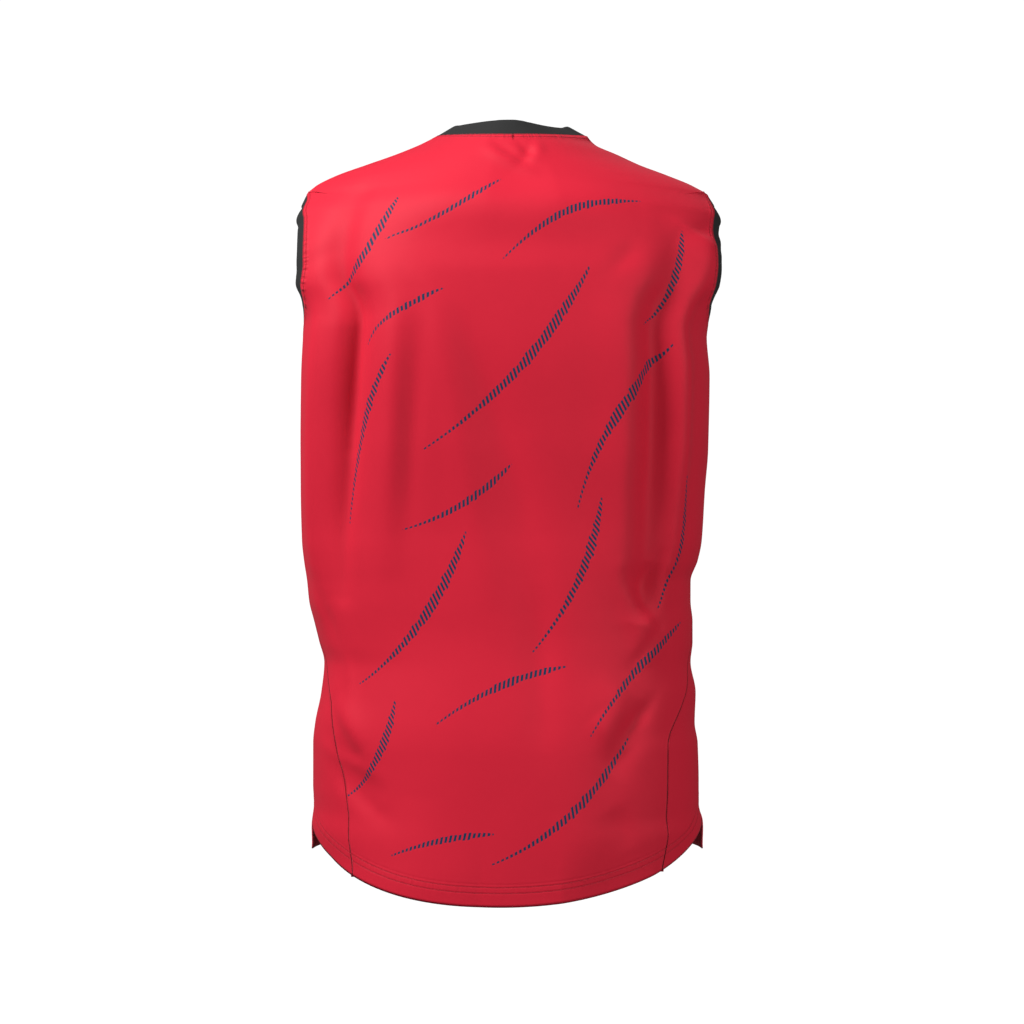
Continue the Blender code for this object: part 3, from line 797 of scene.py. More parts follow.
def shader_group(outputs, **inputs):
    """Makes a function of sockets a node group, the first time that it is asked for. Each
    input has its own value, or None where it is a vector."""

    def named(reckon):
        def make():
            group = bpy.data.node_groups.new(reckon.__name__, "ShaderNodeTree")
            socket_of = group.interface.new_socket
            for name, value in inputs.items():
                kind = "NodeSocketVector" if value is None else "NodeSocketFloat"
                socket = socket_of(name=name, in_out="INPUT", socket_type=kind)
                if value is not None:
                    socket.default_value = value
            for name in outputs:
                socket_of(name=name, in_out="OUTPUT", socket_type="NodeSocketFloat")
            given = group.nodes.new("NodeGroupInput").outputs
            results = reckon(*[Value(given[name]) for name in inputs])
            feed(group.nodes.new("NodeGroupOutput").inputs, dict(zip(outputs, results)))
            return group

        return lambda: bpy.data.node_groups.get(reckon.__name__) or make()

    return named


def use_group(tree, group, **given):
    """A node of the group, and its outputs by name."""
    node = add_node(tree, "Group", given, node_tree=group()).socket.node
    return {socket.name: Value(socket) for socket in node.outputs}


@shader_group(["Height"], Vector=None, Wale=0.0009, Course=0.0007, Depth=0.00003)
def jersey_knit(vector, wale, course, depth):
    """Fine V-shaped loops: Height in metres over the cloth's own UV."""
    x, y = parts_of(vector)
    off = maths("ABSOLUTE", maths("FRACT", x / wale) - 0.5)
    loop = maths("SINE", maths("FRACT", y / course + off * 1.1) * math.pi)
    return [maths("COSINE", off * math.pi) * (loop + 0.6) * depth]


@shader_group(["Height"], Vector=None, Pitch=0.0013, Course=0.0009, Depth=0.00012)
def rib_knit(vector, pitch, course, depth):
    """Fine upright ribs with their courses: Height in metres over the band's own UV."""
    x, y = parts_of(vector)
    rib, loop = (
        maths("ABSOLUTE", maths("SINE", place * math.pi)) for place in (x / pitch, y / course)
    )
    return [(maths("POWER", rib, 0.6) + loop * 0.25) * depth]


@shader_group(["Value"], Vector=None, Scale=18.0)
def hand_variation(vector, scale):
    """Slow uneven colour and sheen: Value from 0 to 1."""
    return [noise(vector, scale, 3) * 0.75 + noise(vector, scale * 31.0, 2) * 0.25]


@shader_group(
    ["Height", "Shade"], Hem=FAR * MM, Seam=FAR * MM, Band=FAR * MM, Run=0.0, Ridge=0.0003
)
def sewing_relief(hem, seam, band, run, ridge):
    """What sewing does to the cloth beside seams, hems and bands, from the distances to
    them: Height in metres and Shade, how deep the painted shade of the stitched and folded lines
    and of the seam's groove is."""
    beside = {"hem": hem, "seam": seam, "band": band}
    wave = {"W": run * 190.0, "Scale": 1.0, "Detail": 1.5}
    uneven = add_node(run.tree, "TexNoise", wave, noise_dimensions="1D") - 0.45
    heights = [bell(seam, SEAM_RIDGE_FROM_SEAM * MM, SEAM_RIDGE_WIDTH * MM) * ridge]
    shades = []
    for mark in SEWING_MARKS:
        here = bell(beside[mark.beside], mark.centre * MM, mark.width * MM)
        if mark.height:
            heights.append(here * (mark.height * MM))
        if mark.pucker:
            heights.append(here * uneven * (mark.pucker * MM))
        # Painted shade: the mark's dent, fold or groove is darkened in the colour.
        if mark.shade:
            shades.append(here * mark.shade)
    return [joined("ADD", heights), maths("MINIMUM", joined("ADD", shades), 1.0)]


@shader_group(
    ["Mask"], Vector=None, Left=0.0, Up=0.0, Slant=0.0, Length=0.1, Bow=0.008,
    HalfHeight=0.004, Pitch=0.0045, Tick=0.0027,
)
def tick_blade(vector, left, up, slant, length, bow, half_height, pitch, tick):
    """One printed blade: a bowed row of slanted ticks that grow from dots and taper off.
    Mask is 1 on the ink."""
    middle = add_node(left.tree, "CombineXYZ", {"X": left, "Y": up})
    turning = {"Vector": vector, "Center": middle, "Angle": slant * -1.0}
    x, y = parts_of(add_node(left.tree, "VectorRotate", turning, rotation_type="Z_AXIS"))
    along = x - left
    share = along / (length * 0.5)
    left_over = 1.0 - share * share
    off = y - up - bow * left_over
    count = (along + off * TICK_LEAN) / pitch
    seed = {"W": maths("FLOOR", count) + up * 997.0}
    chance = add_node(left.tree, "TexWhiteNoise", seed, "Value", noise_dimensions="1D")
    swell = maths("MAXIMUM", left_over * (share * 0.42 + 0.5), 0.0)
    tall = swell * (chance * 0.6 + 0.7) * half_height + TICK_LEAST_HALF * MM
    in_height = (tall - maths("ABSOLUTE", off)) / (TICK_SOFT_END * MM)
    from_tick = maths("ABSOLUTE", maths("FRACT", count) - 0.5) * pitch
    in_tick = (tick * 0.5 - from_tick) / (TICK_SOFT_SIDE * MM)
    mask = maths("MINIMUM", maths("MINIMUM", in_height, in_tick), left_over * 40.0)
    return [maths("MULTIPLY", mask, 1.0, use_clamp=True)]


def colour_mix(part, first, second):
    """A mix of two colours, each a socket or RGBA numbers."""
    given = {"Factor": part, 6: first, 7: second}
    return add_node(part.tree, "Mix", given, output=2, data_type="RGBA")


def cloth_coordinates(tree):
    return add_node(tree, "UVMap", uv_map="cloth")


def measured(tree, name):
    return add_node(tree, "Attribute", output="Fac", attribute_name=name)


def bump(height):
    """A height in metres, at its true size."""
    return add_node(height.tree, "Bump", {"Height": height, "Strength": 1, "Distance": 1})


def shaded(colour, part):
    return (colour[0] * part, colour[1] * part, colour[2] * part, 1)


def make_material(name, dress, *given, **also):
    """A material whose Principled inputs a function gives, or the one that has the name."""
    material = bpy.data.materials.get(name)
    if not material:
        material = bpy.data.materials.new(name)
        material.use_nodes = True
        tree = material.node_tree
        feed(tree.nodes["Principled BSDF"].inputs, dress(tree, *given, **also))
    return material


def knit(tree, red, ink=None, blades=(), ridge=0.0003):
    """Smooth training jersey, with its sewing marks and their painted shade and, on a printed
    face, its blades.
    """
    cloth = cloth_coordinates(tree)
    loops = use_group(tree, jersey_knit, Vector=cloth)["Height"]
    sewing = use_group(
        tree, sewing_relief, Hem=measured(tree, "hem"), Seam=measured(tree, "seam"),
        Band=measured(tree, "band"), Run=measured(tree, "run"), Ridge=ridge,
    )
    hand = use_group(tree, hand_variation, Vector=cloth)["Value"]
    colour = colour_mix(hand, shaded(red, 0.94), shaded(red, 1.05))
    # Painted shade: the red darkens to 0.42 of itself in the stitched dents, folded edges and seam
    # grooves.
    colour = colour_mix(sewing["Shade"], colour, shaded(red, 0.42))
    masks = [
        use_group(
            tree, tick_blade, Vector=cloth, Left=blade.left * MM, Up=blade.up * MM,
            Slant=math.radians(blade.slant), Length=blade.length * MM, Bow=blade.bow * MM,
            HalfHeight=blade.half_height * MM,
        )["Mask"]
        for blade in blades
    ]
    if masks:
        colour = colour_mix(joined("MAXIMUM", masks), colour, (*ink, 1))
    return {
        "Base Color": colour, "Roughness": hand * 0.12 + 0.56, "Specular IOR Level": 0.16,
        "Sheen Weight": 0.06, "Sheen Roughness": 0.5, "Sheen Tint": (1.0, 0.55, 0.6, 1),
        "Normal": bump(loops + sewing["Height"]),
    }


def rib(tree, black):
    """Matte black rib with a faint mottled sheen painted into its colour."""
    cloth = cloth_coordinates(tree)
    height = use_group(tree, rib_knit, Vector=cloth)["Height"]
    slant = {"Vector": cloth, "Rotation": (0, 0, math.radians(35)), "Scale": (1, 3, 1)}
    slanted = add_node(tree, "Mapping", slant)
    painted_sheen_mottle = use_group(tree, hand_variation, Vector=slanted, Scale=60.0)["Value"]
    # Painted sheen: slanted patches of the black are up to 1.7 times lighter.
    return {
        "Base Color": colour_mix(painted_sheen_mottle, shaded(black, 0.55), shaded(black, 1.7)),
        "Roughness": painted_sheen_mottle * 0.25 + 0.62, "Specular IOR Level": 0.05,
        "Sheen Weight": 0.01, "Sheen Roughness": 0.6, "Normal": bump(height),
    }


def thread(tree, colour):
    """Soft spun thread, twisted along its length."""
    place = add_node(tree, "TexCoord", output="Object")
    wave = {"Vector": place, "Scale": 900, "Distortion": 2}
    twist = add_node(tree, "TexWave", wave, "Fac", bands_direction="DIAGONAL")
    # Painted shade: the thread is darker in the twist's grooves, where its bump is low.
    return {
        "Base Color": colour_mix(twist, shaded(colour, 0.7), shaded(colour, 1.1)),
        "Roughness": twist * 0.15 + 0.5, "Normal": bump(twist * 0.00004),
    }


def overlock(tree, colour):
    """Close loops of overlock thread across a seam's allowance."""
    cloth = cloth_coordinates(tree)
    x, y = parts_of(cloth)
    slanted = (x + y * 0.3) * (math.pi / (OVERLOCK_PITCH * MM))
    loops = maths("ABSOLUTE", maths("SINE", slanted))
    hand = use_group(tree, hand_variation, Vector=cloth, Scale=40.0)["Value"]
    # Painted shade: the thread is darker between the loops, where their bump is low.
    return {
        "Base Color": colour_mix(loops, shaded(colour, 0.5), shaded(colour, 1.05)),
        "Roughness": hand * 0.2 + 0.55, "Normal": bump(loops * 0.0003),
    }


def floor_paint(tree):
    """Pale, and white to the camera alone."""
    place = add_node(tree, "TexCoord", output="Object")
    cloud = use_group(tree, hand_variation, Vector=place, Scale=0.8)["Value"]
    return {
        "Base Color": colour_mix(cloud, shaded(WHITE, 0.18), shaded(WHITE, 0.22)),
        "Roughness": 0.8, "Emission Color": WHITE,
        "Emission Strength": add_node(tree, "LightPath", output="Is Camera Ray"),
    }


# Lines on the cloth: rows of (turn, height) places


def neck_line(steps=120):
    """The whole neckline, from the centre back round the wearer's left to the centre back."""
    left = neck_place(1, np.linspace(90, -90, steps + 1))
    right = neck_place(-1, np.linspace(-90, 90, steps + 1)[1:])
    turn = np.concatenate([turn_of(1, left[0]), turn_of(-1, right[0])])
    return turn, np.concatenate([left[1], right[1]])


def armhole_line(side, steps=180):
    """The whole armhole, from its foot up the front and down the back."""
    lead, z = armhole_place(np.linspace(-179.99, 179.99, steps + 1))
    return turn_of(side, lead), z


def line_through(side, place, steps):
    """The line that place(part) draws as its part goes from 0 to 1."""
    places = [place(part) for part in np.linspace(0, 1, steps + 1)]
    lead, z = (np.array([float(found[k]) for found in places]) for k in (0, 1))
    return turn_of(side, lead), z


def long_seam_line(side, behind):
    place = functools.partial(back_seam_place, side) if behind else front_seam_place
    return line_through(side, place, 160)


def shoulder_line(side):
    return line_through(side, functools.partial(shoulder_seam_place, side), 60)


def tail_line(steps=160):
    """The drop tail's hem, from the left vent round the back to the right one."""
    lead = np.linspace(seam_lead("front", VENT_TOP), 90, steps + 1)
    turn = np.concatenate([turn_of(1, lead), turn_of(-1, lead[::-1][1:])])
    return turn, np.concatenate([tail_hem(1, lead), tail_hem(-1, lead[::-1][1:])])


def front_hem_line(steps=120):
    """The front's hem, from the right vent round the front to the left one."""
    lead = np.linspace(float(seam_lead("front", FRONT_HEM)), -90, steps + 1)
    turn = np.concatenate([turn_of(-1, lead), turn_of(1, lead[::-1][1:]) % 360])
    return turn, np.full(len(turn), float(FRONT_HEM))


def vent_line(side, steps=20):
    """One vent's edge, from the front's hem up."""
    z = np.linspace(FRONT_HEM, VENT_TOP, steps + 1)
    return turn_of(side, seam_lead("front", z)), z


def smooth_turns(turn):
    """Turns with no jump of a whole circle."""
    return np.degrees(np.unwrap(np.radians(turn)))


def aside(line, distance, surface):
    """Places at a distance to the left of a line as it runs, seen from outside the cloth."""
    turn, z = smooth_turns(line[0]), line[1]
    along = np.gradient(surface(turn, z), axis=0)
    across = unit(np.cross(normals_of(surface, turn, z), along))
    round_step = surface(turn + LOOK_AHEAD, z) - surface(turn - LOOK_AHEAD, z)
    up_step = surface(turn, z + LOOK_AHEAD) - surface(turn, z - LOOK_AHEAD)
    turn_step = (across * round_step).sum(-1) / (round_step**2).sum(-1)
    z_step = (across * up_step).sum(-1) / (up_step**2).sum(-1)
    return turn + turn_step * distance, z + z_step * distance


# Meshes


def link(name, data):
    """A new object in the scene, under a name that nothing has yet."""
    if name in bpy.data.objects:
        raise RuntimeError(f"{name} is made twice")
    thing = bpy.data.objects.new(name, data)
    bpy.context.scene.collection.objects.link(thing)
    return thing


def grid_mesh(name, points, uv):
    """A grid laid through an array of points, rows by columns, with each point's row and
    column."""
    rows, columns = points.shape[0] - 1, points.shape[1] - 1
    data = bmesh.new()
    bmesh.ops.create_grid(data, x_segments=columns, y_segments=rows, size=0.5)
    mesh = bpy.data.meshes.new(name)
    data.to_mesh(mesh)
    data.free()
    places = np.empty(len(mesh.vertices) * 3)
    mesh.vertices.foreach_get("co", places)
    places = places.reshape(-1, 3)
    column = np.rint((places[:, 0] + 0.5) * columns).astype(int)
    row = np.rint((places[:, 1] + 0.5) * rows).astype(int)
    mesh.vertices.foreach_set("co", (points[row, column] * MM).ravel())
    corner = np.empty(len(mesh.loops), int)
    mesh.loops.foreach_get("vertex_index", corner)
    layer = mesh.uv_layers.new(name="cloth")
    layer.data.foreach_set("uv", (uv[row, column][corner] * MM).ravel())
    mesh.update()
    return mesh, row, column


def cloth_uv(points, anchor):
    """Distances along the cloth: across each row from one column, and up from the first row."""
    across, up = np.zeros(points.shape[:2]), np.zeros(points.shape[:2])
    across[:, 1:] = np.cumsum(np.linalg.norm(np.diff(points, axis=1), axis=-1), axis=1)
    across -= across[:, anchor : anchor + 1]
    up[1:] = np.cumsum(np.linalg.norm(np.diff(points, axis=0), axis=-1), axis=0)
    return np.stack([across, up], axis=-1)


def tube_mesh(name, points, lengthwise, section, caps=False):
    """A closed tube through sections of points, its UV along it and round its section."""
    uv = np.stack(np.meshgrid(run_along(lengthwise), run_along(section)), axis=-1)
    mesh = grid_mesh(name, points, uv)[0]
    data = bmesh.new()
    data.from_mesh(mesh)
    bmesh.ops.remove_doubles(data, verts=data.verts, dist=MEETING_EDGES)
    if caps:
        ends = [edge for edge in data.edges if edge.is_boundary]
        bmesh.ops.holes_fill(data, edges=ends, sides=0)
    bmesh.ops.recalc_face_normals(data, faces=data.faces)
    if data.calc_volume(signed=True) < 0:
        bmesh.ops.reverse_faces(data, faces=data.faces)
    data.to_mesh(mesh)
    data.free()
    return mesh


def edge_distance(points, line):
    """(distance, run along the line) from each point to the nearest place of a line."""
    start, step = line[:-1], np.diff(line, axis=0)
    length = np.linalg.norm(step, axis=1)
    before = np.concatenate([[0], np.cumsum(length)[:-1]])
    distance = np.full(len(points), FAR)
    run = np.zeros(len(points))
    low, high = line.min(0) - FAR, line.max(0) + FAR
    near = np.flatnonzero(((points > low) & (points < high)).all(1))
    for chunk in np.array_split(near, max(1, len(near) // POINTS_AT_ONCE)):
        offset = points[chunk, None] - start
        part = np.clip((offset * step).sum(-1) / (length**2), 0, 1)
        apart = np.linalg.norm(offset - part[..., None] * step, axis=-1)
        best = apart.argmin(1)
        rows = np.arange(len(chunk))
        distance[chunk] = np.minimum(apart[rows, best], FAR)
        run[chunk] = before[best] + part[rows, best] * length[best]
    return distance, run


def set_distance(mesh, name, values):
    mesh.attributes.new(name, "FLOAT", "POINT").data.foreach_set("value", values * MM)


def turn_outwards(mesh):
    """Faces of an open sheet point away from the body's axis."""
    level = Vector((1, 1, 0))
    if sum(face.normal.dot(face.center * level) * face.area for face in mesh.polygons) < 0:
        mesh.flip_normals()


def thin_wall(thing, thickness, offset=-1, inside_slot=0):
    """The cloth's thickness in metres: inwards from its face at offset -1, both ways at 0."""
    wall = thing.modifiers.new("wall", "SOLIDIFY")
    wall.thickness = thickness
    wall.offset = offset
    wall.use_even_offset = False
    wall.material_offset = inside_slot
    wall.material_offset_rim = inside_slot


# Pieces


def finish_piece(thing, slot, materials, *nodes):
    """Its materials, its body and the solids it stands for. Its slot is not used."""
    for material in materials:
        thing.data.materials.append(material)
    thing.data.shade_smooth()
    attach(thing, "root")
    if nodes:
        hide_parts(*nodes)
    return thing


def declare_cloth(thing):
    """Reads a piece's cloth UV into an array, which nothing uses."""
    mesh = thing.data
    uv = np.empty(len(mesh.loops) * 2)
    mesh.uv_layers["cloth"].data.foreach_get("uv", uv)


def make_panel(node, places, surface, edges, middle_column, materials, thickness):
    """A panel's sheet, with its UV and its distances to the edges that sewing marks."""
    name = node + "_cloth"
    points = surface(*places)
    mesh, row, column = grid_mesh(name, points, cloth_uv(points, middle_column))
    flat = points[row, column]
    run = np.zeros(len(flat))
    nearest = np.full(len(flat), FAR)
    for attribute in ("hem", "seam", "band"):
        distance = np.full(len(flat), FAR)
        for line in edges[attribute]:
            found, along = edge_distance(flat, surface(*line))
            distance = np.minimum(distance, found)
            closer = found < nearest
            nearest = np.where(closer, found, nearest)
            run = np.where(closer & (attribute != "seam"), along, run)
        set_distance(mesh, attribute, distance)
    set_distance(mesh, "run", run)
    turn_outwards(mesh)
    thing = link(name, mesh)
    thin_wall(thing, thickness, inside_slot=1)
    declare_cloth(finish_piece(thing, RED, materials, node))


def make_turned_hem(name, line, surface, width, thickness, material):
    """The hem's turning: a strip inside the cloth, on the left side of a line."""
    shares = [row / HEM_ROWS for row in range(HEM_ROWS + 1)]
    lanes = [aside(line, width * share, surface) for share in shares]
    depth = 1.5 * thickness + HEM_GAP
    points = np.array([surface(*lane) - normals_of(surface, *lane) * depth for lane in lanes])
    mesh, row, _ = grid_mesh(name, points, cloth_uv(points, 0))
    set_distance(mesh, "hem", abs(width) * row / HEM_ROWS)
    turn_outwards(mesh)
    thing = link(name, mesh)
    thin_wall(thing, thickness * MM, offset=0)
    declare_cloth(finish_piece(thing, RED, [material]))


def stitch_places(line, surface, lift):
    """Middles, directions and normals of the stitches along a line."""
    turn, z = smooth_turns(line[0]), line[1]
    points = surface(turn, z)
    run = run_along(points)

    def at_runs(places, values):
        return np.stack([np.interp(places, run, column) for column in values.T], axis=1)

    pitch = STITCH_LENGTH + STITCH_SPACE
    at = np.arange(pitch / 2, run[-1] - pitch / 2, pitch)
    middle = at_runs(at, points)
    normal = unit(at_runs(at, normals_of(surface, turn, z)))
    return middle + normal * lift, unit(at_runs(at + LOOK_AHEAD, points) - middle), normal


def make_stitches(name, lines, surface, lifts, material):
    """Rows of stitches as one piece. Each stitch is a small rounded grain of thread."""
    grain = bmesh.new()
    bmesh.ops.create_uvsphere(grain, u_segments=6, v_segments=5, radius=1)
    shape = np.array([vert.co[:] for vert in grain.verts])
    shape *= (STITCH_THICKNESS / 2, STITCH_THICKNESS / 2, STITCH_LENGTH / 2)
    faces = [[vert.index for vert in face.verts] for face in grain.faces]
    grain.free()
    places, all_faces, start = [], [], 0
    for line in lines:
        for lift in lifts:
            middle, along, normal = stitch_places(line, surface, lift)
            axes = np.stack([np.cross(normal, along), normal, along], axis=1)
            placed = middle[:, None] + np.einsum("vk,skx->svx", shape, axes)
            places.append(placed.reshape(-1, 3))
            for _ in middle:
                all_faces += [[start + index for index in face] for face in faces]
                start += len(shape)
    mesh = bpy.data.meshes.new(name)
    mesh.from_pydata((np.concatenate(places) * MM).tolist(), [], all_faces)
    data = bmesh.new()
    data.from_mesh(mesh)
    bmesh.ops.recalc_face_normals(data, faces=data.faces)
    data.to_mesh(mesh)
    data.free()
    finish_piece(link(name, mesh), RED, [material])


def round_section(low, high, thickness, steps):
    """A band's or cord's section: (up, out) pairs round a softly squared oval."""
    angle = np.linspace(-math.pi / 2, 1.5 * math.pi, steps + 1)
    sine, cosine = np.sin(angle), np.cos(angle)
    up = np.sign(sine) * np.abs(sine) ** SECTION_UP_POWER
    out = np.sign(cosine) * np.abs(cosine) ** SECTION_OUT_POWER
    return np.stack([(high + low) / 2 + (high - low) / 2 * up, thickness / 2 * out], axis=-1)


def make_band(node, line, centre, lean, lean_share, width, thickness, material):
    """A folded rib band that stands on the edge along a closed line of places. It leans from
    the cloth's own slope towards lean(edge), by lean_share(edge)."""
    turn, z = smooth_turns(line[0]), line[1]
    face = normals_of(cloth_face, turn, z)
    edge = cloth_face(turn, z) - face * (BAND_SINK + thickness / 2)
    along = np.roll(edge[:-1], -1, axis=0) - np.roll(edge[:-1], 1, axis=0)
    along = np.concatenate([along, along[:1]])
    onward = unit(np.cross(along, face))
    onward *= np.sign(np.sum(onward * (centre - edge), axis=-1, keepdims=True))
    share = lean_share(edge)
    rise = unit(onward * (1 - share) + lean(edge) * share)
    out = unit(np.cross(along, rise))
    out *= np.sign(np.sum(out * face, axis=-1, keepdims=True))
    section = round_section(-BAND_TUCK, width, thickness, BAND_SECTION_STEPS)
    points = np.array([
        edge
        + (rise if up > 0 else onward) * up
        + mix(face, out, min(max(up / BAND_BEND, 0), 1)) * off
        for up, off in section
    ])
    mesh = tube_mesh(node + "_rib", points, edge, section)
    thing = finish_piece(link(node + "_rib", mesh), "black_rib", [material], node)


def make_overlock(name, line, depth, material):
    """A seam's overlocked allowance, pressed flat inside the cloth."""
    turn, z = smooth_turns(line[0]), line[1]
    points = cloth_face(turn, z)
    face = normals_of(cloth_face, turn, z)
    across = unit(np.cross(face, np.gradient(points, axis=0)))
    half = OVERLOCK_WIDTH / 2
    section = round_section(-half, half, OVERLOCK_THICKNESS, OVERLOCK_SECTION_STEPS)
    centre = points - face * (depth + OVERLOCK_THICKNESS / 2)
    made = np.array([centre + across * side + face * off for side, off in section])
    mesh = tube_mesh(name, made, points, section, caps=True)
    finish_piece(link(name, mesh), RED, [material])


# Sizes and colours that a user would change


def number(name, description, default, **more):
    return bpy.props.FloatProperty(name=name, description=description, default=default, **more)


def colour(name, description, default):
    return bpy.props.FloatVectorProperty(
        name=name, description=description, default=default, subtype="COLOR", min=0, max=1
    )


class SingletCloth(bpy.types.PropertyGroup):
    """Thicknesses and fineness of the cloth."""

    knit_thickness: number(
        "Knit thickness", "Thickness of the red jersey", 0.0007,
        min=0.0003, max=0.0015, unit="LENGTH", precision=4,
    )
    rib_thickness: number(
        "Rib thickness", "Thickness of the folded rib bands", 0.0019,
        min=0.001, max=0.003, unit="LENGTH", precision=4,
    )
    fineness: bpy.props.IntProperty(
        name="Columns", description="Columns of faces across the back", default=152,
        min=40, max=180,
    )


class SingletColours(bpy.types.PropertyGroup):
    """Colours of the cloth, print, rib and thread."""

    red: colour("Red knit", "The jersey's dye", (0.66, 0.014, 0.038))
    # Paler than the outer red: partly the duller inner face that jersey has, partly painted light
    # that brightens the front's inner face where it shows in shade below the tail at the vents.
    inside: colour("Inside", "The jersey's paler inner face", (0.84, 0.045, 0.085))
    ink: colour("Print", "The printed blades' ink", (0.006, 0.036, 0.088))
    rib: colour("Rib", "The neckband and armhole bands", (0.0035, 0.0035, 0.0038))
    thread: colour("Thread", "Stitches on the red cloth", (0.52, 0.014, 0.036))


class SingletStage(bpy.types.PropertyGroup):
    """Camera, floor and light."""

    camera_distance: number(
        "Camera distance", "From the garment's middle, behind the wearer", 1.9,
        min=1, max=5, unit="LENGTH",
    )
    camera_height: number(
        "Camera height", "Level of the camera, from the shoulders", -0.373, unit="LENGTH"
    )
    field_of_view: number(
        "Field of view", "Across the picture", math.radians(30), subtype="ANGLE"
    )
    floor_height: number(
        "Floor height", "Level of the floor, from the shoulders", -1.45, unit="LENGTH"
    )
    key_power: number("Key light", "Large soft light, high on the left", 86, min=0, unit="POWER")
    right_power: number(
        "Right light", "Low soft light from the picture's right", 20, min=0, unit="POWER"
    )
    sky: number("Sky", "Strength of the even white light", 0.13, min=0)


# Operators: one for each group of pieces


class Maker:
    """What every operator does: it makes its pieces with the scene's sizes and colours."""

    def execute(self, context):
        scene = context.scene
        self.make(scene.singlet_cloth, scene.singlet_colours)
        return {"FINISHED"}


class SINGLET_OT_panels(Maker, bpy.types.Operator):
    """Make the back, front and side panels"""

    bl_idname = "singlet.panels"
    bl_label = "Panels"

    def make(self, cloth, colours):
        columns = cloth.fineness // 2 * 2
        inside, plain = inner_knit(colours), outer_knit("red_knit_plain", colours)
        neck, tail = neck_line(), tail_line()
        seams = {side: long_seam_line(side, True) for _, side in SIDES}
        fronts = {side: long_seam_line(side, False) for _, side in SIDES}
        arms = {side: armhole_line(side) for _, side in SIDES}
        shoulders = [shoulder_line(side) for _, side in SIDES]
        bands = [neck, *arms.values()]
        make_panel(
            "back_panel", whole_rows(back_row, columns, stations_of(BACK_ROWS)), cloth_face,
            {"hem": [tail], "seam": [*seams.values(), *shoulders], "band": bands}, columns // 2,
            [outer_knit("red_knit_back", colours, BACK_BLADES), inside], cloth.knit_thickness,
        )
        columns -= FRONT_FEWER_COLUMNS
        make_panel(
            "front_panel", whole_rows(front_row, columns, stations_of(FRONT_ROWS)), front_face,
            {"hem": [front_hem_line()], "seam": [*fronts.values(), *shoulders], "band": bands},
            columns // 2, [outer_knit("red_knit_front", colours, FRONT_BLADES), inside],
            cloth.knit_thickness,
        )
        for name, side in SIDES:
            make_panel(
                f"side_panel_{name}", side_rows(side, SIDE_COLUMNS, stations_of(SIDE_ROWS)),
                cloth_face,
                {"hem": [tail], "seam": [seams[side], fronts[side]], "band": [arms[side]]},
                0, [plain, inside], cloth.knit_thickness,
            )


class SINGLET_OT_neckband(Maker, bpy.types.Operator):
    """Make the rib neckband"""

    bl_idname = "singlet.neckband"
    bl_label = "Neckband"

    def make(self, cloth, colours):
        def stand(edge):
            side = np.abs(edge[:, :1] / NECK_HALF_WIDTH)
            return NECKBAND_STAND * (1 - side**2) + NECKBAND_SINK * (edge[:, :1] < 0) * side**2

        def lean(edge):
            side = np.clip(-edge[:, :1] / NECK_HALF_WIDTH, 0, 1)
            return np.concatenate([side, 0 * side, 1 - NECKBAND_LEAN * side], axis=1)

        make_band(
            "neckband", neck_line(180), np.array(NECK_CENTRE), lean, stand, NECKBAND_WIDTH,
            cloth.rib_thickness / MM, make_material("black_rib", rib, colours.rib),
        )


class SINGLET_OT_armhole_bands(Maker, bpy.types.Operator):
    """Make the rib bands of both armholes"""

    bl_idname = "singlet.armhole_bands"
    bl_label = "Armhole bands"

    def make(self, cloth, colours):
        for name, side in SIDES:
            middle = np.array([side * ARM_BAND_MIDDLE, ARMHOLE_AXIS, ARMHOLE_MIDDLE])
            make_band(
                f"armhole_band_{name}", armhole_line(side, 240), middle,
                lambda edge, middle=middle: unit((middle - edge) * (0, 1, 1)),
                lambda edge: ARM_BAND_TURN_IN, ARM_BAND_WIDTH, cloth.rib_thickness / MM,
                make_material("black_rib", rib, colours.rib),
            )


class SINGLET_OT_hems(Maker, bpy.types.Operator):
    """Make the turned hems of the tail, the front and its vents"""

    bl_idname = "singlet.hems"
    bl_label = "Turned hems"

    def make(self, cloth, colours):
        hems = [
            ("tail_hem_turning", tail_line(), cloth_face, HEM_DEPTH),
            ("front_hem_turning", front_hem_line(), front_face, HEM_DEPTH),
            *[
                (f"vent_turning_{name}", vent_line(side), front_face, side * VENT_HEM_DEPTH)
                for name, side in SIDES
            ],
        ]
        wall, inside = cloth.knit_thickness / MM, inner_knit(colours)
        for name, line, surface, width in hems:
            make_turned_hem(name, line, surface, width, wall, inside)


class SINGLET_OT_stitches(Maker, bpy.types.Operator):
    """Make the rows of stitches on the hems, neck and armholes"""

    bl_idname = "singlet.stitches"
    bl_label = "Stitches"

    def make(self, cloth, colours):
        wall = cloth.knit_thickness / MM
        red = make_material("red_thread", thread, colours.thread)
        through_hem, through_cloth = (0.0, -2 * (wall + HEM_GAP)), (0.0, -wall)
        tail, front = tail_line(), front_hem_line()
        rows = [
            ("tail_hem_stitches", cloth_face, through_hem,
             [aside(tail, row, cloth_face) for row in HEM_STITCH_ROWS]),
            ("front_hem_stitches", front_face, through_hem,
             [aside(front, row, front_face) for row in HEM_STITCH_ROWS]),
            ("vent_stitches", front_face, through_hem,
             [aside(vent_line(side), side * VENT_STITCH_ROW, front_face) for _, side in SIDES]),
            ("neck_stitches", cloth_face, through_cloth,
             [aside(neck_line(), TOPSTITCH_FROM_NECK, cloth_face)]),
            *[
                (f"armhole_stitches_{name}", cloth_face, through_cloth,
                 [aside(armhole_line(side), side * TOPSTITCH_FROM_ARMHOLE, cloth_face)])
                for name, side in SIDES
            ],
        ]
        for name, surface, lifts, lines in rows:
            make_stitches(name, lines, surface, lifts, red)


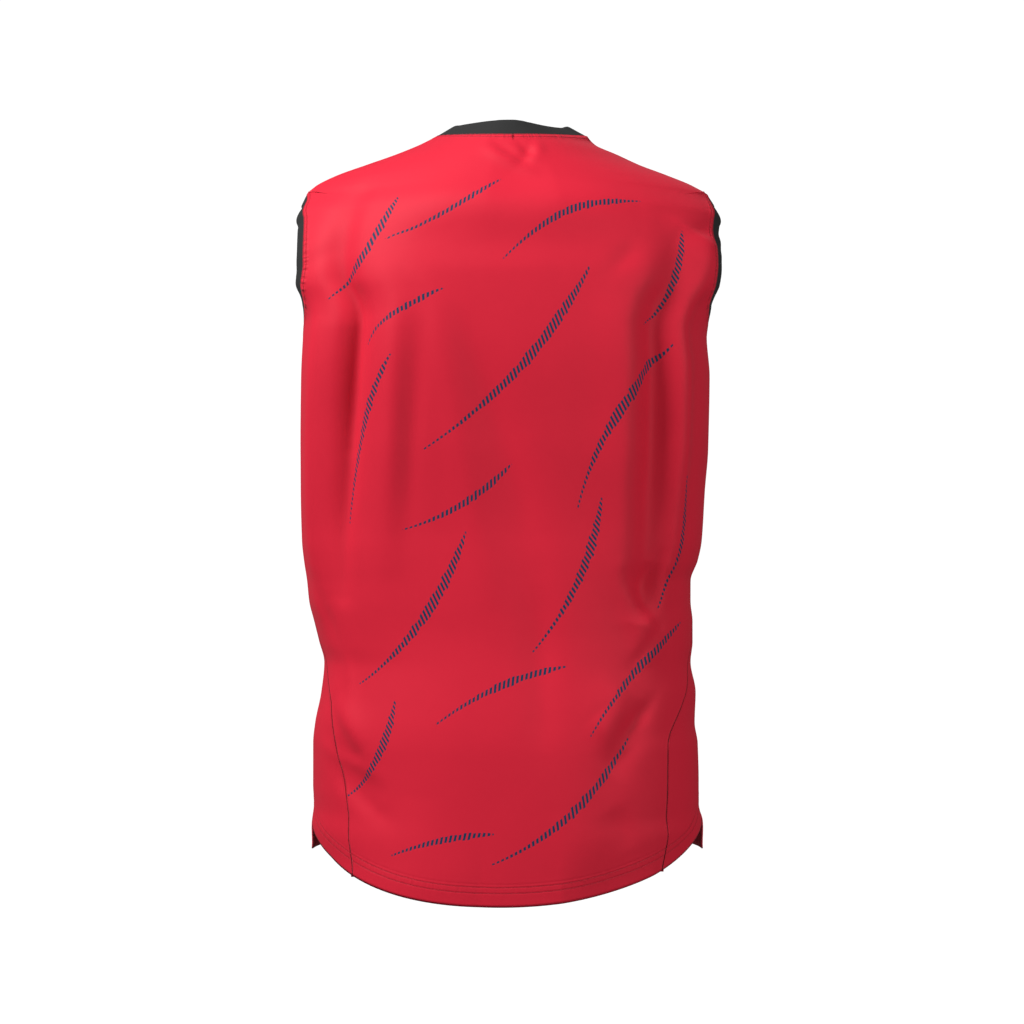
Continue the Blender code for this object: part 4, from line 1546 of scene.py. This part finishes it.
class SINGLET_OT_inside_seams(Maker, bpy.types.Operator):
    """Make the overlocked allowances inside the seams"""

    bl_idname = "singlet.inside_seams"
    bl_label = "Inside seams"

    def make(self, cloth, colours):
        red = make_material("red_overlock", overlock, colours.thread)
        for name, side in SIDES:
            for place, line in (
                ("back", long_seam_line(side, True)), ("front", long_seam_line(side, False)),
                ("shoulder", shoulder_line(side)),
            ):
                make_overlock(
                    f"{place}_seam_allowance_{name}", line, cloth.knit_thickness / MM, red
                )


class SINGLET_OT_stage(bpy.types.Operator):
    """Set the floor, the light and the camera"""

    bl_idname = "singlet.stage"
    bl_label = "Stage"

    def execute(self, context):
        stage = context.scene.singlet_stage
        make_floor(stage)
        make_lights(stage)
        make_camera(stage)
        return {"FINISHED"}


# Partly painted light: the inside's paler colour brightens the cloth's inner face where it lies in
# shade.
def inner_knit(colours):
    return make_material("red_knit_inside", knit, colours.inside, ridge=0.0)


def outer_knit(name, colours, blades=()):
    return make_material(name, knit, colours.red, colours.ink, blades, ridge=0.0004)


# Stage


def make_floor(stage):
    data = bmesh.new()
    bmesh.ops.create_grid(data, x_segments=8, y_segments=8, size=FLOOR_HALF)
    bmesh.ops.translate(data, verts=data.verts, vec=(0, 0, stage.floor_height))
    mesh = bpy.data.meshes.new("floor")
    data.to_mesh(mesh)
    data.free()
    mesh.materials.append(make_material("pale_floor", floor_paint))
    link("floor", mesh)


def soft_light(name, place, target, power):
    light = bpy.data.lights.new(name, "AREA")
    light.shape = "DISK"
    light.size = LIGHT_SIZE
    light.energy = power
    thing = link(name, light)
    thing.location = place
    thing.rotation_euler = (Vector(target) - Vector(place)).to_track_quat("-Z", "Y").to_euler()


def make_lights(stage):
    soft_light("key", *KEY_LIGHT, stage.key_power)
    soft_light("right", *RIGHT_LIGHT, stage.right_power)
    world = bpy.data.worlds.new("studio")
    world.use_nodes = True
    tree = world.node_tree
    seen = add_node(tree, "LightPath", output="Is Camera Ray")
    white = add_node(tree, "Background", {"Color": WHITE, "Strength": BACKDROP})
    lit = tree.nodes["Background"]
    feed(lit.inputs, {"Color": WHITE, "Strength": stage.sky})
    surface = add_node(tree, "MixShader", {0: seen, 1: Value(lit.outputs[0]), 2: white})
    feed(tree.nodes["World Output"].inputs, {"Surface": surface})
    bpy.context.scene.world = world


def make_camera(stage):
    camera = bpy.data.cameras.new("camera")
    camera.sensor_width = SENSOR
    camera.lens = SENSOR / 2 / math.tan(stage.field_of_view / 2)
    thing = link("camera", camera)
    thing.location = (0, stage.camera_distance, stage.camera_height)
    thing.rotation_euler = (math.pi / 2, 0, math.pi)
    bpy.context.scene.camera = thing
    bpy.context.scene.view_settings.view_transform = "Standard"


# The add-on's order is the order of making.
OPERATORS = (
    SINGLET_OT_stage,
    SINGLET_OT_panels,
    SINGLET_OT_neckband,
    SINGLET_OT_armhole_bands,
    SINGLET_OT_hems,
    SINGLET_OT_stitches,
    SINGLET_OT_inside_seams,
)


class SINGLET_PT_sidebar(bpy.types.Panel):
    """The singlet's pieces"""

    bl_idname = "SINGLET_PT_sidebar"
    bl_label = "Training Singlet"
    bl_space_type = "VIEW_3D"
    bl_region_type = "UI"
    bl_category = "Singlet"

    def draw(self, context):
        for group in GROUPS:
            settings = getattr(context.scene, group)
            for name in settings.bl_rna.properties.keys():
                if name not in ("rna_type", "name"):
                    self.layout.prop(settings, name)
        for operator in OPERATORS:
            self.layout.operator(operator.bl_idname)


GROUPS = {
    "singlet_cloth": SingletCloth,
    "singlet_colours": SingletColours,
    "singlet_stage": SingletStage,
}
CLASSES = (*GROUPS.values(), *OPERATORS, SINGLET_PT_sidebar)


def register():
    for made in CLASSES:
        bpy.utils.register_class(made)
    for name, group in GROUPS.items():
        setattr(bpy.types.Scene, name, bpy.props.PointerProperty(type=group))


def unregister():
    for name in GROUPS:
        delattr(bpy.types.Scene, name)
    for made in reversed(CLASSES):
        bpy.utils.unregister_class(made)


def main():
    register()
    for operator in OPERATORS:
        getattr(bpy.ops.singlet, operator.bl_idname.split(".")[1])()


if __name__ == "__main__":
    main()
